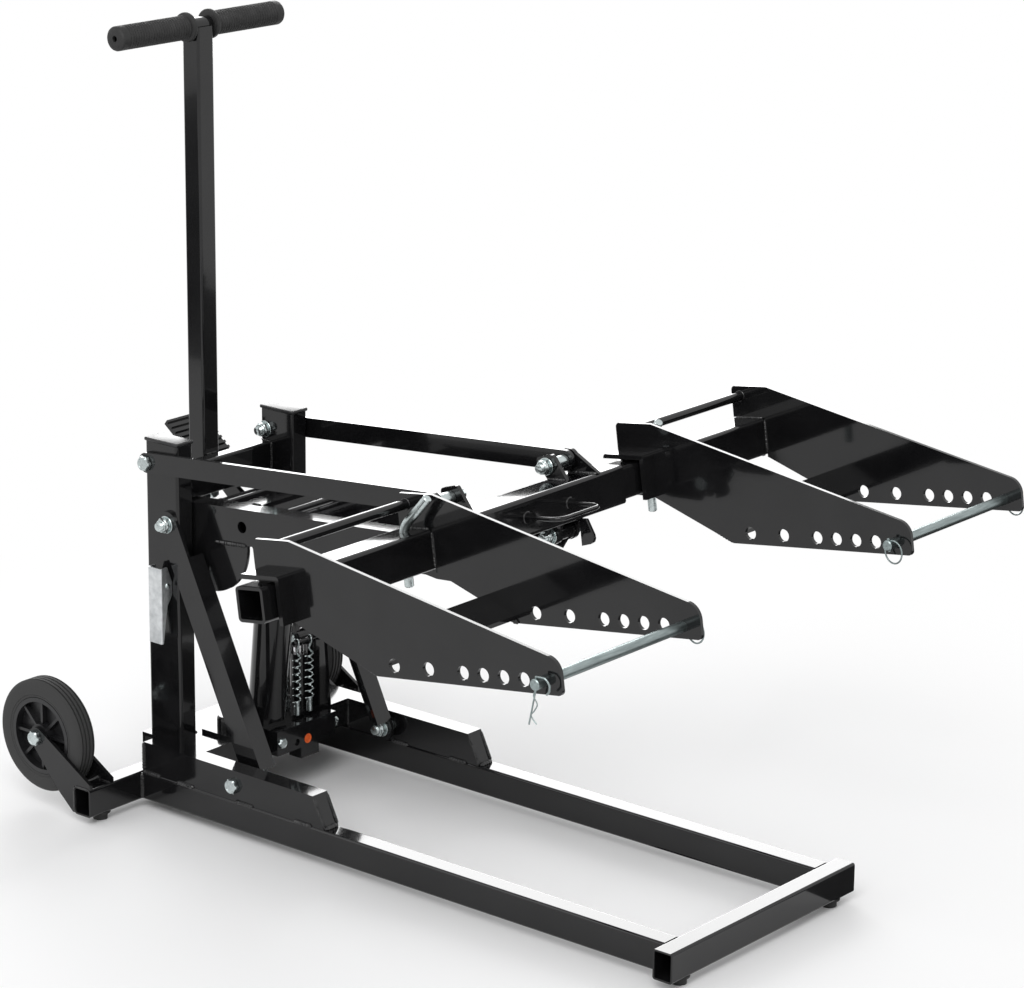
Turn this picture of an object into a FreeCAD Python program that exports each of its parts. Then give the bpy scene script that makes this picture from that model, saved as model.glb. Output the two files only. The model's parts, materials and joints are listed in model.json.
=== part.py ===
import FreeCAD, Part
import math
import os
import re
import Sketcher

# Lawn mower lift, in millimetres. X runs across the machine, -Y is the front with the wheel pans,
# +Y is the rear with the wheels and the pushing handle, and the feet stand on Z = 0.

SIZES = {
    # base frame tubes
    "tube_height": 40.0, "tube_width": 30.0, "tube_wall": 2.5,
    "foot_height": 12.0, "foot_radius": 10.0, "foot_flange_height": 3.0, "foot_flange_radius": 14.0,
    "front_tube_half": 194.0, "rear_tube_half": 272.7, "front_tube_y": -782.0, "rear_tube_y": 145.0,
    "rail_outer": 174.0, "front_foot_x": 160.0, "rear_foot_x": 240.0,
    # stiffeners on the rails and the channel between them
    "stiffener_width": 28.0, "stiffener_height": 43.0, "stiffener_inset": 2.5,
    "stiffener_top_y": -170.0, "stiffener_low_y": -190.0, "stiffener_rear_y": 143.0,
    "channel_front_y": 52.6, "sheet": 5.0,
    # uprights, their caps and the member between them
    "upright_inner": 98.0, "upright_width": 30.0, "upright_depth": 60.0, "upright_rear_y": 173.6,
    "upright_top": 508.0, "upright_wall": 3.0,
    "cap_height": 5.0, "cap_lip": 1.2, "cap_plug": 8.0,
    "yoke_low_z": 413.0, "yoke_height": 50.0, "yoke_depth": 20.0,
    # pushing handle
    "pole_width": 30.0, "pole_low_z": 400.0, "bar_z": 1053.0, "bar_radius": 11.0, "bar_half": 153.0,
    "bar_wall": 2.0, "grip_radius": 16.5, "grip_length": 134.0, "grip_collar_radius": 20.0,
    "grip_collar_length": 7.0, "grip_rib_pitch": 7.0, "grip_rib_depth": 1.5, "grip_end_hole": 4.0,
    "pole_bolt_drop": 13.0,
    # pivots of the lifting linkage
    "low_pivot_y": 130.0, "low_pivot_z": 399.0, "link_run": 509.0, "link_rise": 43.0,
    "beam_y": -373.0, "beam_z": 483.0, "top_pivot_back": 22.5, "top_pivot_up": 43.0,
    "pitch_deg": 8.2,
    # fasteners
    "bolt_radius": 6.0, "hex_across": 19.0, "head_height": 7.5, "nut_height": 10.0,
    "washer_radius": 12.0, "washer_height": 2.5, "bolt_tail": 5.0, "pivot_gap": 0.08, "side_gap": 0.5,
    "small_bolt_radius": 4.0, "small_hex_across": 13.0, "small_head_height": 5.5,
    # lower arms
    "arm_inner": 67.0, "arm_width": 30.0, "arm_height": 50.0, "arm_wall": 3.0, "arm_lug": 5.0,
    "arm_nose_back": 80.0, "arm_eye_radius": 12.0, "neck_drop": 13.5, "neck_near": 24.0,
    "neck_far": 35.0, "neck_low": 28.5, "neck_low_far": 62.0, "pivot_boss_radius": 10.0,
    "arm_hole_radius": 8.0, "arm_hole_back": 106.0,
    "tie_one_back": 44.0, "tie_one_width": 20.0, "tie_one_height": 20.0,
    "tie_two_back": 79.0, "tie_two_width": 37.0, "tie_two_height": 6.0,
    "tie_three_back": 155.0, "tie_three_radius": 5.0, "tie_three_up": 17.0,
    "gusset_radius": 71.0, "gusset_back": 50.0, "gusset_rear_back": 18.0, "gusset_plate": 6.0,
    "shaft_back": 82.0, "shaft_drop": 18.0, "shaft_radius": 12.0,
    # upper links
    "link_gap": 1.5, "link_plate": 6.0, "link_height": 28.0,
    # beam with its inner tube, ears and tie-down loop
    "beam_size": 52.0, "beam_wall": 4.0, "beam_half": 190.0, "inner_half": 497.0, "inner_wall": 4.0,
    "slot_width": 14.0, "ear_plate": 6.0, "ear_inner": 93.0, "outer_ear_inner": 138.0,
    "ear_round": 15.0, "ear_top_back": 42.0, "ear_top_front": 11.0, "ear_top_up": 59.0,
    "ear_foot_front": 8.0, "ear_foot_back": 24.0, "ear_corner": 5.0,
    "low_ear_inner": 59.5, "low_ear_outer": 98.5, "low_ear_half": 20.0, "low_ear_round": 13.0,
    "spacer_radius": 9.0, "loop_wire": 3.0, "loop_reach": 54.0, "loop_left_x": -12.0,
    "loop_right_x": 75.0, "loop_boss_radius": 7.0, "loop_boss_length": 10.0, "loop_bend": 16.0,
    # wheel pans, two alike
    "pan_left_x": -455.0, "pan_right_x": 248.0, "pan_width": 265.0, "pan_plate": 5.0,
    "pan_rear_back": 27.0, "pan_top_front": 31.0, "pan_top_up": 70.0, "pan_front": 434.0,
    "pan_front_up_drop": 44.0, "pan_low_drop": 85.0, "pan_low_back": 153.0, "pan_heel_front": 27.0,
    "pan_heel_drop": 29.0, "pan_corner": 22.0, "pan_small_corner": 6.0,
    "pan_hole_radius": 8.5, "pan_hole_drop": 70.0, "pan_hole_first": 182.0, "pan_hole_second": 235.0,
    "pan_hole_third": 288.0, "pan_hole_step": 30.3, "pan_last_hole": 407.0,
    "rear_rod_radius": 6.5, "rear_rod_back": 13.0, "rear_rod_up": 56.0,
    "strip_front": 150.0, "strip_back": 102.0, "strip_low_drop": 80.0, "strip_up_drop": 58.0,
    "strip_plate": 5.0, "front_rod_radius": 6.25, "front_rod_tail": 16.0, "front_rod_gap": 0.4,
    "clip_wire": 1.6,
    "collar_width": 24.0, "collar_bar": 6.0, "collar_back": 34.0, "collar_front": 33.0,
    "collar_drop": 28.0, "sleeve_gap": 0.4, "collar_corner": 5.0,
    "pin_in": 28.0, "pin_radius": 6.0, "pin_up": 50.0, "pin_low": 44.0, "pin_bend": 34.0,
    "pin_gap": 0.4, "pan_slide_out": 100.0, "pan_slide_in": 36.0,
    # rear wheels in their fork plates
    "wheel_x": 250.3, "wheel_y": 248.0, "wheel_z": 104.0, "wheel_radius": 79.0, "wheel_width": 32.0,
    "tyre_inner": 54.0, "tyre_shoulder": 6.0, "groove_width": 2.5, "groove_depth": 3.0,
    "groove_pitch": 6.4, "hub_rim": 6.0, "hub_web": 5.0, "hub_boss": 17.0, "hub_rib": 4.0,
    "hub_width": 30.0, "fork_plate": 5.0, "fork_inner": 228.0, "fork_eye": 14.0,
    "fork_hook_up": 7.0, "fork_low_z": 13.5, "fork_heel_y": 206.0, "fork_heel_z": 37.0,
    "fork_rear_drop": 4.0, "fork_front_back": 8.0, "fork_front_up": 11.5,
    # braces of angle iron
    "brace_plate": 5.0, "brace_width": 36.0, "brace_flange": 24.0, "brace_foot_y": -26.0,
    "brace_foot_z": 73.6, "brace_flange_drop": 52.0, "brace_flange_rise": 6.0,
    # jack
    "jack_foot_y": 75.0, "jack_foot_z": 90.0, "jack_radius": 27.0, "jack_bore_radius": 14.1,
    "jack_low": 14.0, "jack_top": 198.0, "jack_floor": 10.0,
    "gland_radius": 21.0, "gland_height": 8.0, "ram_radius": 14.0,
    "ram_low": 92.0, "saddle_length": 56.0, "saddle_width": 50.0, "saddle_height": 9.0,
    "saddle_gap": 1.0, "jack_plate_half": 92.0, "jack_plate_rear_y": 110.0, "jack_plate_height": 5.0,
    "jack_seat_height": 26.0, "jack_seat_half": 28.0, "jack_seat_front_y": 54.0,
    "jack_seat_rear_y": 109.0,
    "valve_left_x": -26.0, "valve_right_x": 93.0, "valve_front_y": 30.0, "valve_low_z": 60.0,
    "valve_bolt_x": -18.0, "valve_bolt_z": 78.0, "valve_plug_x": 14.0, "valve_dot_x": 36.0,
    "valve_dot_z": 70.0, "valve_dot_radius": 7.0, "valve_dot_depth": 3.0, "valve_plug_radius": 5.0,
    "key_left_x": 22.0, "key_right_x": 58.0, "key_low_z": 44.0,
    "boss_x": -62.0, "boss_y": 92.0, "boss_radius": 13.0, "boss_height": 16.0,
    # pedal pump
    "pump_x": 80.0, "pump_y": 88.0, "pump_radius": 12.0, "pump_top_z": 172.0, "pump_floor_z": 118.0,
    "plunger_radius": 7.0, "plunger_low_z": 136.0, "plunger_top_z": 190.0, "plunger_gap": 0.05,
    "lever_y": 66.0, "lever_z": 206.0, "lever_hub_radius": 13.0, "lever_bolt_radius": 5.0,
    "lever_left_x": 46.0, "lever_plate": 8.0, "lever_hub_right_x": 92.0, "bracket_x": 93.0,
    "bracket_plate": 6.0, "bracket_half": 14.0, "bracket_low_half": 22.0,
    "knee_y": 158.0, "knee_z": 378.0, "knee_half": 10.0, "lever_half": 12.0,
    "crank_front": 16.0, "crank_half": 4.5, "crank_pin_radius": 3.0, "crank_left_x": 29.0,
    "crank_pad_width": 16.0, "crank_pad_height": 8.0, "plunger_clear": 0.4,
    "spring_one_x": 35.5, "spring_two_x": 61.0, "spring_y": 50.0, "spring_low_z": 114.0,
    "spring_top_z": 186.0, "spring_coil_radius": 5.2, "spring_wire": 0.9, "spring_post_radius": 4.1,
    "pedal_x": 50.0, "pedal_y": 246.0, "pedal_z": 462.0, "pedal_width": 70.0, "pedal_length": 78.0,
    "pedal_plate": 5.0, "pedal_deg": 38.0, "pedal_ridge": 3.0, "pedal_ridge_width": 3.5,
    "lever_stub": 41.0,
    # lock lever on the left upright
    "lock_pin_x": 137.5, "lock_pin_z": 314.0, "lock_pin_radius": 3.0, "lock_web_x": 143.0,
    "lock_plate": 3.0, "lock_front_y": 126.0, "lock_rear_y": 166.0, "lock_top_z": 341.0,
    "lock_low_z": 231.0, "lock_tail_y": 146.0, "lock_round": 8.5, "lock_lug": 5.0,
    "lock_lug_round": 5.2,
}

SHARES = {
    # corner radii of box tube as shares of its wall
    "outer_corner_share": 1.4, "inner_corner_share": 0.5,
}

COUNTS = {
    "grip_rib_count": 16, "groove_count": 4, "hub_rib_count": 8, "pedal_ridge_count": 9,
    "spring_turn_count": 7, "points_per_turn": 40,
}

PITCH = "pitch_deg * 1 deg"
LINK_TILT = "atan(link_rise / link_run)"
LINK_LENGTH = "sqrt(link_run ^ 2 + link_rise ^ 2)"
BASE_TOP = "(foot_height + tube_height)"
CHANNEL_TOP = "(foot_height + tube_height + stiffener_height)"
PLATE_TOP = "(foot_height + tube_height + stiffener_height + jack_plate_height)"
UPRIGHT_OUTER = "(upright_inner + upright_width)"
STIFFENER_OUTER = "(rail_outer - stiffener_inset)"
STIFFENER_INNER = "(rail_outer - stiffener_inset - stiffener_width)"
TOP_PIVOT_Y = "(beam_y + top_pivot_back * cos(pitch_deg * 1 deg) + top_pivot_up * sin(pitch_deg * 1 deg))"
TOP_PIVOT_Z = "(beam_z - top_pivot_back * sin(pitch_deg * 1 deg) + top_pivot_up * cos(pitch_deg * 1 deg))"
JACK_LEAN = "atan((jack_foot_y - low_pivot_y + shaft_run) / (low_pivot_z - shaft_fall - jack_foot_z))"

HANDLE_BOLT_Z = "(yoke_low_z - pole_bolt_drop / 2)"
LEFT_PIN_X = "(pan_left_x + pan_width - pin_in)"
RIGHT_PIN_X = "(pan_right_x + pin_in)"

doc = FreeCAD.newDocument("lawn_mower_lift")
sheet = doc.addObject("Spreadsheet::Sheet", "sizes")


def fill_sheet():
    """Write every size and count into the spreadsheet, one alias a row."""
    rows = list(SIZES.items()) + list(SHARES.items()) + list(COUNTS.items())
    for row, (name, value) in enumerate(rows, start=1):
        sheet.set(f"A{row}", name)
        sheet.set(f"B{row}", str(value))
        sheet.setAlias(f"B{row}", name)
    derived = {
        "shaft_run": "shaft_back * link_run / sqrt(link_run ^ 2 + link_rise ^ 2)"
                     " + shaft_drop * link_rise / sqrt(link_run ^ 2 + link_rise ^ 2)",
        "shaft_fall": "shaft_drop * link_run / sqrt(link_run ^ 2 + link_rise ^ 2)"
                      " - shaft_back * link_rise / sqrt(link_run ^ 2 + link_rise ^ 2)",
    }
    for row, (name, text) in enumerate(derived.items(), start=len(rows) + 1):
        sheet.set(f"A{row}", name)
        sheet.set(f"B{row}", "=" + text)
        sheet.setAlias(f"B{row}", name)
    doc.recompute()
    return set(SIZES) | set(SHARES) | set(COUNTS) | set(derived)


NAMES = fill_sheet()


def formula(text):
    """Turn plain names into references to the spreadsheet."""
    return re.sub(r"[a-z_]+", lambda found: "sizes." + found[0] if found[0] in NAMES else found[0], str(text))


def value(text):
    """Work a formula out as a number, in millimetres or degrees."""
    scratch = doc.getObject("scratch") or doc.addObject("App::FeaturePython", "scratch")
    answer = scratch.evalExpression(formula(text))
    return float(getattr(answer, "Value", answer))


def bind(thing, **formulas):
    """Bind properties, or x, y, z of the placement, to formulas."""
    for name, text in formulas.items():
        target = "Placement.Base." + name if name in ("x", "y", "z") else name
        thing.setExpression(target, formula(text))
    return thing


def turn(thing, axis, angle):
    """Bind a rotation about one axis."""
    thing.Placement = FreeCAD.Placement(FreeCAD.Vector(), FreeCAD.Rotation(FreeCAD.Vector(*axis), 1))
    thing.setExpression("Placement.Rotation.Angle", formula(angle))
    return thing


def spin(thing, axis):
    """Turn a primitive that grows along Z so that it grows along the axis."""
    turns = {"x": ((0, 1, 0), 90), "y": ((1, 0, 0), -90), "z": ((0, 0, 1), 0)}
    direction, degrees = turns[axis]
    thing.Placement = FreeCAD.Placement(FreeCAD.Vector(), FreeCAD.Rotation(FreeCAD.Vector(*direction), degrees))
    return thing


def block(x, y, z, length, width, height):
    """A box with its low corner at x, y, z."""
    return bind(doc.addObject("Part::Box", "block"), x=x, y=y, z=z, Length=length, Width=width, Height=height)


def rod(axis, x, y, z, radius, length):
    """A round bar that starts at x, y, z and grows along the axis."""
    thing = spin(doc.addObject("Part::Cylinder", "rod"), axis)
    return bind(thing, x=x, y=y, z=z, Radius=radius, Height=length)


def hexagon(axis, x, y, z, across, height):
    """A hexagonal bar that starts at x, y, z and grows along the axis."""
    thing = spin(doc.addObject("Part::Prism", "hexagon"), axis)
    thing.Polygon = 6
    return bind(thing, x=x, y=y, z=z, Circumradius=f"{across} / sqrt(3)", Height=height)


def cut(base, *tools):
    """The base less every tool."""
    for tool in tools:
        thing = doc.addObject("Part::Cut", "cut")
        thing.Base = base
        thing.Tool = tool
        base = thing
    return base


def join(*shapes):
    """One solid from shapes that meet."""
    thing = doc.addObject("Part::MultiFuse", "join")
    thing.Shapes = list(shapes)
    thing.Refine = True
    return thing


def common(first, second):
    """What two shapes share."""
    thing = doc.addObject("Part::Common", "common")
    thing.Base = first
    thing.Tool = second
    return thing


def group(*shapes):
    """Separate solids that share one node."""
    thing = doc.addObject("Part::Compound", "group")
    thing.Links = list(shapes)
    return thing


def ring(axis, x, y, z, outer, inner, length):
    """A round tube that starts at x, y, z."""
    return cut(rod(axis, x, y, z, outer, length), rod(axis, x, y, z, inner, length))


def plate(plane, outline, depth, rounds=None):
    """A padded sketch of an outline, with chosen corners rounded.

    The outline's points are pairs of formulas in the plane's own axes, and rounds gives a radius
    for the corners with those numbers. A YZ plate grows along +X, an XY one along +Z and an XZ one
    along -Y.
    """
    body = doc.addObject("PartDesign::Body", "plate")
    sketch = body.newObject("Sketcher::SketchObject", "outline")
    role = plane + "_Plane"
    sketch.AttachmentSupport = [(f, "") for f in body.Origin.OriginFeatures if f.Role == role]
    sketch.MapMode = "FlatFace"
    points = [(value(across), value(up)) for across, up in outline]
    count = len(points)
    for number in range(count):
        start = FreeCAD.Vector(*points[number], 0)
        end = FreeCAD.Vector(*points[(number + 1) % count], 0)
        sketch.addGeometry(Part.LineSegment(start, end))
    for number in range(count):
        sketch.addConstraint(Sketcher.Constraint("Coincident", number, 2, (number + 1) % count, 1))
    for number, (across, up) in enumerate(outline):
        for kind, text, size in (("DistanceX", across, points[number][0]), ("DistanceY", up, points[number][1])):
            held = sketch.addConstraint(Sketcher.Constraint(kind, -1, 1, number, 1, size))
            sketch.setExpression(f"Constraints[{held}]", formula(text))
    pad = body.newObject("PartDesign::Pad", "pad")
    pad.Profile = sketch
    bind(pad, Length=depth)
    body.Tip = pad
    doc.recompute()
    for radius in sorted(set((rounds or {}).values())):
        wanted = [points[number] for number, text in rounds.items() if text == radius]
        edges = corner_edges(body.Shape, plane, wanted)
        last = body.Tip
        soft = body.newObject("PartDesign::Fillet", "soft")
        soft.Base = (last, edges)
        bind(soft, Radius=radius)
        body.Tip = soft
        doc.recompute()
    return body


def corner_edges(shape, plane, wanted):
    """Names of the straight edges that run through the wanted corners of a plate."""
    near = 1e-4
    names = []
    for number, edge in enumerate(shape.Edges, start=1):
        ends = [(getattr(v, plane[0]), getattr(v, plane[1])) for v in edge.Vertexes]
        if len(ends) < 2:
            continue
        same = math.dist(ends[0], ends[1]) < near
        if same and any(math.dist(ends[0], corner) < near for corner in wanted):
            names.append(f"Edge{number}")
    return names


def out(side, start, thick):
    """Where a piece starts along X when it covers start to start + thick on that side."""
    return start if side > 0 else f"-({start}) - ({thick})"


FRAMES = {
    "base": None,
    "carriage": ("0", "beam_y", "beam_z", "-" + PITCH),
    "arm": ("0", "low_pivot_y", "low_pivot_z", "-" + LINK_TILT),
    "link": ("0", TOP_PIVOT_Y + " + link_run", TOP_PIVOT_Z + " - link_rise", "-" + LINK_TILT),
    "jack": ("0", "jack_foot_y", "jack_foot_z", JACK_LEAN),
}
nodes = []


def node(name, thing, frame="base"):
    """Name a finished piece and stand it in its frame."""
    holder = thing
    if FRAMES[frame]:
        holder = doc.addObject("Part::Compound", name)
        holder.Links = [thing]
        x, y, z, angle = FRAMES[frame]
        turn(holder, (1, 0, 0), angle)
        bind(holder, x=x, y=y, z=z)
    holder.Label = name
    nodes.append((name, holder))


def soft_bar(plane, across, up, width, height, depth, corner):
    """A bar with four rounded long edges, padded from a rectangle in the plane."""
    outline = [(across, up), (f"{across} + {width}", up), (f"{across} + {width}", f"{up} + {height}"),
               (across, f"{up} + {height}")]
    return plate(plane, outline, depth, {number: corner for number in range(4)})


def box_tube(x, y, z, length, width, height, wall, along):
    """A rectangular tube with rounded corners, open at both ends along one axis."""
    places = {"x": ("YZ", y, z, width, height, length, {"x": x}),
              "y": ("XZ", x, z, length, height, width, {"y": f"{y} + {width}"}),
              "z": ("XY", x, y, length, width, height, {"z": z})}
    plane, across, up, wide, high, depth, start = places[along]
    outer = soft_bar(plane, across, up, wide, high, depth, f"{wall} * outer_corner_share")
    inner = soft_bar(plane, f"{across} + {wall}", f"{up} + {wall}", f"{wide} - 2 * {wall}", f"{high} - 2 * {wall}",
                     depth, f"{wall} * inner_corner_share")
    return cut(bind(outer, **start), bind(inner, **start))


def cross_bolt(side, y, z, head_at, nut_at, head_outside=True, radius="bolt_radius"):
    """A hex bolt along X with its nut and washer, given where its head and nut bear.

    head_at and nut_at are distances from the middle; the outer one is the head's when
    head_outside holds.
    """
    tail = "(washer_height + nut_height + bolt_tail)"
    if head_outside:
        low, length = f"({nut_at}) - {tail}", f"({head_at}) - ({nut_at}) + {tail}"
        head = hexagon("x", out(side, head_at, "head_height"), y, z, "hex_across", "head_height")
        washer_at, nut_start = f"({nut_at}) - washer_height", f"({nut_at}) - washer_height - nut_height"
    else:
        low, length = head_at, f"({nut_at}) - ({head_at}) + {tail}"
        head = hexagon("x", out(side, f"({head_at}) - head_height", "head_height"), y, z, "hex_across",
                       "head_height")
        washer_at, nut_start = nut_at, f"({nut_at}) + washer_height"
    shank = rod("x", out(side, low, length), y, z, radius, length)
    washer = ring("x", out(side, washer_at, "washer_height"), y, z, "washer_radius", radius, "washer_height")
    nut = cut(hexagon("x", out(side, nut_start, "nut_height"), y, z, "hex_across", "nut_height"),
              rod("x", out(side, nut_start, "nut_height"), y, z, radius, "nut_height"))
    return [join(head, shank), washer, nut]


def bore(y, z, radius, half="inner_half"):
    """A round cutter across the whole machine."""
    return rod("x", f"-{half}", y, z, radius, f"2 * {half}")


SIDES = (-1, 1)
RUNNING_BORE = "bolt_radius + pivot_gap"


def base_frame():
    """Feet, tubes, stiffeners and the channel that carries the uprights."""
    node("front_cross_tube", box_tube("-front_tube_half", "front_tube_y", "foot_height", "2 * front_tube_half",
                                      "tube_width", "tube_height", "tube_wall", "x"))
    node("rear_cross_tube", box_tube("-rear_tube_half", "rear_tube_y", "foot_height", "2 * rear_tube_half",
                                     "tube_width", "tube_height", "tube_wall", "x"))
    rail_start = "front_tube_y + tube_width"
    rails = [box_tube(out(side, "rail_outer - tube_width", "tube_width"), rail_start, "foot_height",
                      "tube_width", f"rear_tube_y - ({rail_start})", "tube_height", "tube_wall", "y")
             for side in SIDES]
    node("rails", group(*rails))
    node("stiffeners", group(*[stiffener(side) for side in SIDES]))
    feet = []
    for x, y in (("front_foot_x", "front_tube_y + tube_width / 2"), ("rear_foot_x", "rear_tube_y + tube_width / 2")):
        for sign in ("-", ""):
            stem = rod("z", sign + x, y, "0", "foot_radius", "foot_height")
            flange = rod("z", sign + x, y, "foot_height - foot_flange_height", "foot_flange_radius",
                         "foot_flange_height")
            feet.append(join(stem, flange))
    node("feet", group(*feet))
    depth = "(upright_rear_y - channel_front_y)"
    top = block(f"-{STIFFENER_INNER}", "channel_front_y", f"{CHANNEL_TOP} - sheet", f"2 * {STIFFENER_INNER}",
                depth, "sheet")
    front = block(f"-{STIFFENER_INNER}", "channel_front_y", f"{BASE_TOP} + sheet", f"2 * {STIFFENER_INNER}",
                  "sheet", "stiffener_height - sheet")
    rear = block(f"-{STIFFENER_INNER}", "upright_rear_y - sheet", BASE_TOP, f"2 * {STIFFENER_INNER}", "sheet",
                 "stiffener_height")
    node("base_channel", join(top, front, rear))


def stiffener(side):
    """A box section on one rail, cut on the slope and closed by a plate at the front."""
    x = out(side, STIFFENER_INNER, "stiffener_width")
    low, high = BASE_TOP, CHANNEL_TOP
    shell = plate("YZ", [("stiffener_low_y", low), ("stiffener_rear_y", low), ("stiffener_rear_y", high),
                         ("stiffener_top_y", high)], "stiffener_width")
    bind(shell, x=x)
    wall = "tube_wall"
    hollow = plate("YZ", [(f"stiffener_low_y + 2 * {wall}", f"{low} + {wall}"),
                          ("stiffener_rear_y", f"{low} + {wall}"), ("stiffener_rear_y", f"{high} - {wall}"),
                          (f"stiffener_top_y + {wall}", f"{high} - {wall}")], f"stiffener_width - 2 * {wall}")
    bind(hollow, x=f"{x} + {wall}")
    return cut(shell, hollow, bore("brace_foot_y", "brace_foot_z", "bolt_radius"))


def uprights():
    """The two uprights, their plastic caps, and the member between them."""
    front = "upright_rear_y - upright_depth"
    caps, tubes = [], []
    for side in SIDES:
        x = out(side, "upright_inner", "upright_width")
        tube = box_tube(x, front, CHANNEL_TOP, "upright_width", "upright_depth", f"upright_top - {CHANNEL_TOP}",
                        "upright_wall", "z")
        tube = cut(tube, bore("low_pivot_y", "low_pivot_z", "bolt_radius"),
                   bore(f"{TOP_PIVOT_Y} + link_run", f"{TOP_PIVOT_Z} - link_rise", "bolt_radius"))
        tubes.append(tube)
        lid = block(f"{x} - cap_lip", f"{front} - cap_lip", "upright_top", "upright_width + 2 * cap_lip",
                    "upright_depth + 2 * cap_lip", "cap_height")
        plug = soft_bar("XY", f"{x} + upright_wall", f"{front} + upright_wall", "upright_width - 2 * upright_wall",
                        "upright_depth - 2 * upright_wall", "cap_plug", "upright_wall * outer_corner_share / 2")
        caps.append(join(lid, bind(plug, z="upright_top - cap_plug")))
    node("uprights", group(*tubes))
    node("upright_caps", group(*caps))
    yoke = box_tube("-upright_inner", "upright_rear_y - yoke_depth", "yoke_low_z", "2 * upright_inner",
                    "yoke_depth", "yoke_height", "tube_wall", "x")
    node("upper_cross_member", yoke)


def handle():
    """Pole, T-bar and its two grips."""
    middle = "(upright_rear_y + pole_width / 2)"
    pole = box_tube("-pole_width / 2", "upright_rear_y", "pole_low_z", "pole_width", "pole_width",
                    "bar_z - pole_low_z", "tube_wall", "z")
    saddle = rod("x", "-pole_width", middle, "bar_z", "bar_radius", "2 * pole_width")
    bolt_hole = rod("y", "0", "upright_rear_y", HANDLE_BOLT_Z, "small_bolt_radius", "tube_wall")
    node("handle_pole", cut(pole, saddle, bolt_hole))
    node("handle_bar", ring("x", "-bar_half", middle, "bar_z", "bar_radius", "bar_radius - bar_wall",
                            "2 * bar_half"))
    grips = []
    for side in SIDES:
        start = "(bar_half - grip_length)"
        end_wall = "grip_rib_depth"
        body = rod("x", out(side, start, f"grip_length + {end_wall}"), middle, "bar_z",
                   "grip_radius - grip_rib_depth", f"grip_length + {end_wall}")
        collar = rod("x", out(side, start, "grip_collar_length"), middle, "bar_z", "grip_collar_radius",
                     "grip_collar_length")
        ribs = []
        for number in range(COUNTS["grip_rib_count"]):
            at = f"{start} + grip_collar_length + grip_rib_pitch * {number + 1}"
            ribs.append(rod("x", out(side, at, "grip_rib_pitch / 2"), middle, "bar_z", "grip_radius",
                            "grip_rib_pitch / 2"))
        hollow = rod("x", out(side, start, "grip_length"), middle, "bar_z", "bar_radius", "grip_length")
        vent = bore(middle, "bar_z", "grip_end_hole")
        grips.append(cut(join(body, collar, *ribs), hollow, vent))
    node("grips", group(*grips))


def handle_bolt():
    """The bolt that holds the pole, just under the upper cross member."""
    face = "upright_rear_y"
    head = hexagon("y", "0", f"{face} - small_head_height", HANDLE_BOLT_Z, "small_hex_across", "small_head_height")
    shank = rod("y", "0", face, HANDLE_BOLT_Z, "small_bolt_radius", "tube_wall")
    return join(head, shank)


def braces():
    """Angle-iron braces from the pivots down to the stiffeners, and the frame's own bolts."""
    run = "(low_pivot_y - brace_foot_y)"
    rise = "(low_pivot_z - brace_foot_z)"
    length = f"sqrt({run} ^ 2 + {rise} ^ 2)"
    bolts, angles = [handle_bolt()], []
    for side in SIDES:
        half = "brace_width / 2"
        web = join(
            block(out(side, UPRIGHT_OUTER, "brace_plate"), f"-{half}", f"-{length}", "brace_plate", "brace_width",
                  length),
            rod("x", out(side, UPRIGHT_OUTER, "brace_plate"), "0", "0", half, "brace_plate"),
            rod("x", out(side, UPRIGHT_OUTER, "brace_plate"), "0", f"-{length}", half, "brace_plate"))
        flange = block(out(side, f"{UPRIGHT_OUTER} - brace_flange", "brace_flange"), f"-{half}",
                       f"-{length} + brace_flange_rise", "brace_flange", "brace_plate",
                       f"{length} - brace_flange_drop - brace_flange_rise")
        holes = [rod("x", "-inner_half", "0", at, "bolt_radius", "2 * inner_half") for at in ("0", f"-{length}")]
        angle = cut(join(web, flange), *holes)
        holder = doc.addObject("Part::Compound", "leaning_brace")
        holder.Links = [angle]
        turn(holder, (1, 0, 0), f"-atan({run} / {rise})")
        bind(holder, y="low_pivot_y", z="low_pivot_z")
        angles.append(holder)
        bolts += cross_bolt(side, "brace_foot_y", "brace_foot_z", STIFFENER_OUTER, UPRIGHT_OUTER)
        outer = f"{UPRIGHT_OUTER} + brace_plate"
        gap = f"{STIFFENER_INNER} - ({outer})"
        bolts.append(ring("x", out(side, outer, gap), "brace_foot_y", "brace_foot_z", "pivot_boss_radius",
                          "bolt_radius", gap))
    node("braces", group(*angles))
    node("frame_bolts", group(*bolts))


def wheels():
    """Fork plates, axle bolts, hubs and tyres at the rear."""
    rear_face = "rear_tube_y + tube_width"
    outline = [("rear_tube_y", BASE_TOP), (rear_face, BASE_TOP), (rear_face, "fork_low_z"),
               (f"{rear_face} + fork_rear_drop", "fork_low_z"), ("fork_heel_y", "fork_heel_z"),
               ("wheel_y + fork_eye", "wheel_z - fork_rear_drop"),
               ("wheel_y - fork_front_back", "wheel_z + fork_front_up"),
               ("rear_tube_y", f"{BASE_TOP} + fork_hook_up")]
    forks = []
    for start in ("fork_inner", "rear_tube_half - fork_plate"):
        for side in SIDES:
            x = out(side, start, "fork_plate")
            arm = bind(plate("YZ", outline, "fork_plate"), x=x)
            eye = rod("x", x, "wheel_y", "wheel_z", "fork_eye", "fork_plate")
            hole = bore("wheel_y", "wheel_z", "bolt_radius")
            forks.append(cut(join(arm, eye), hole))
    node("fork_plates", group(*forks))
    bolts = []
    for side in SIDES:
        bolts += cross_bolt(side, "wheel_y", "wheel_z", "rear_tube_half", "fork_inner")
    node("axle_bolts", group(*bolts))
    for label, side in zip(("left", "right"), SIDES):
        tyre(label, side)
        hub(label, side)


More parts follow.
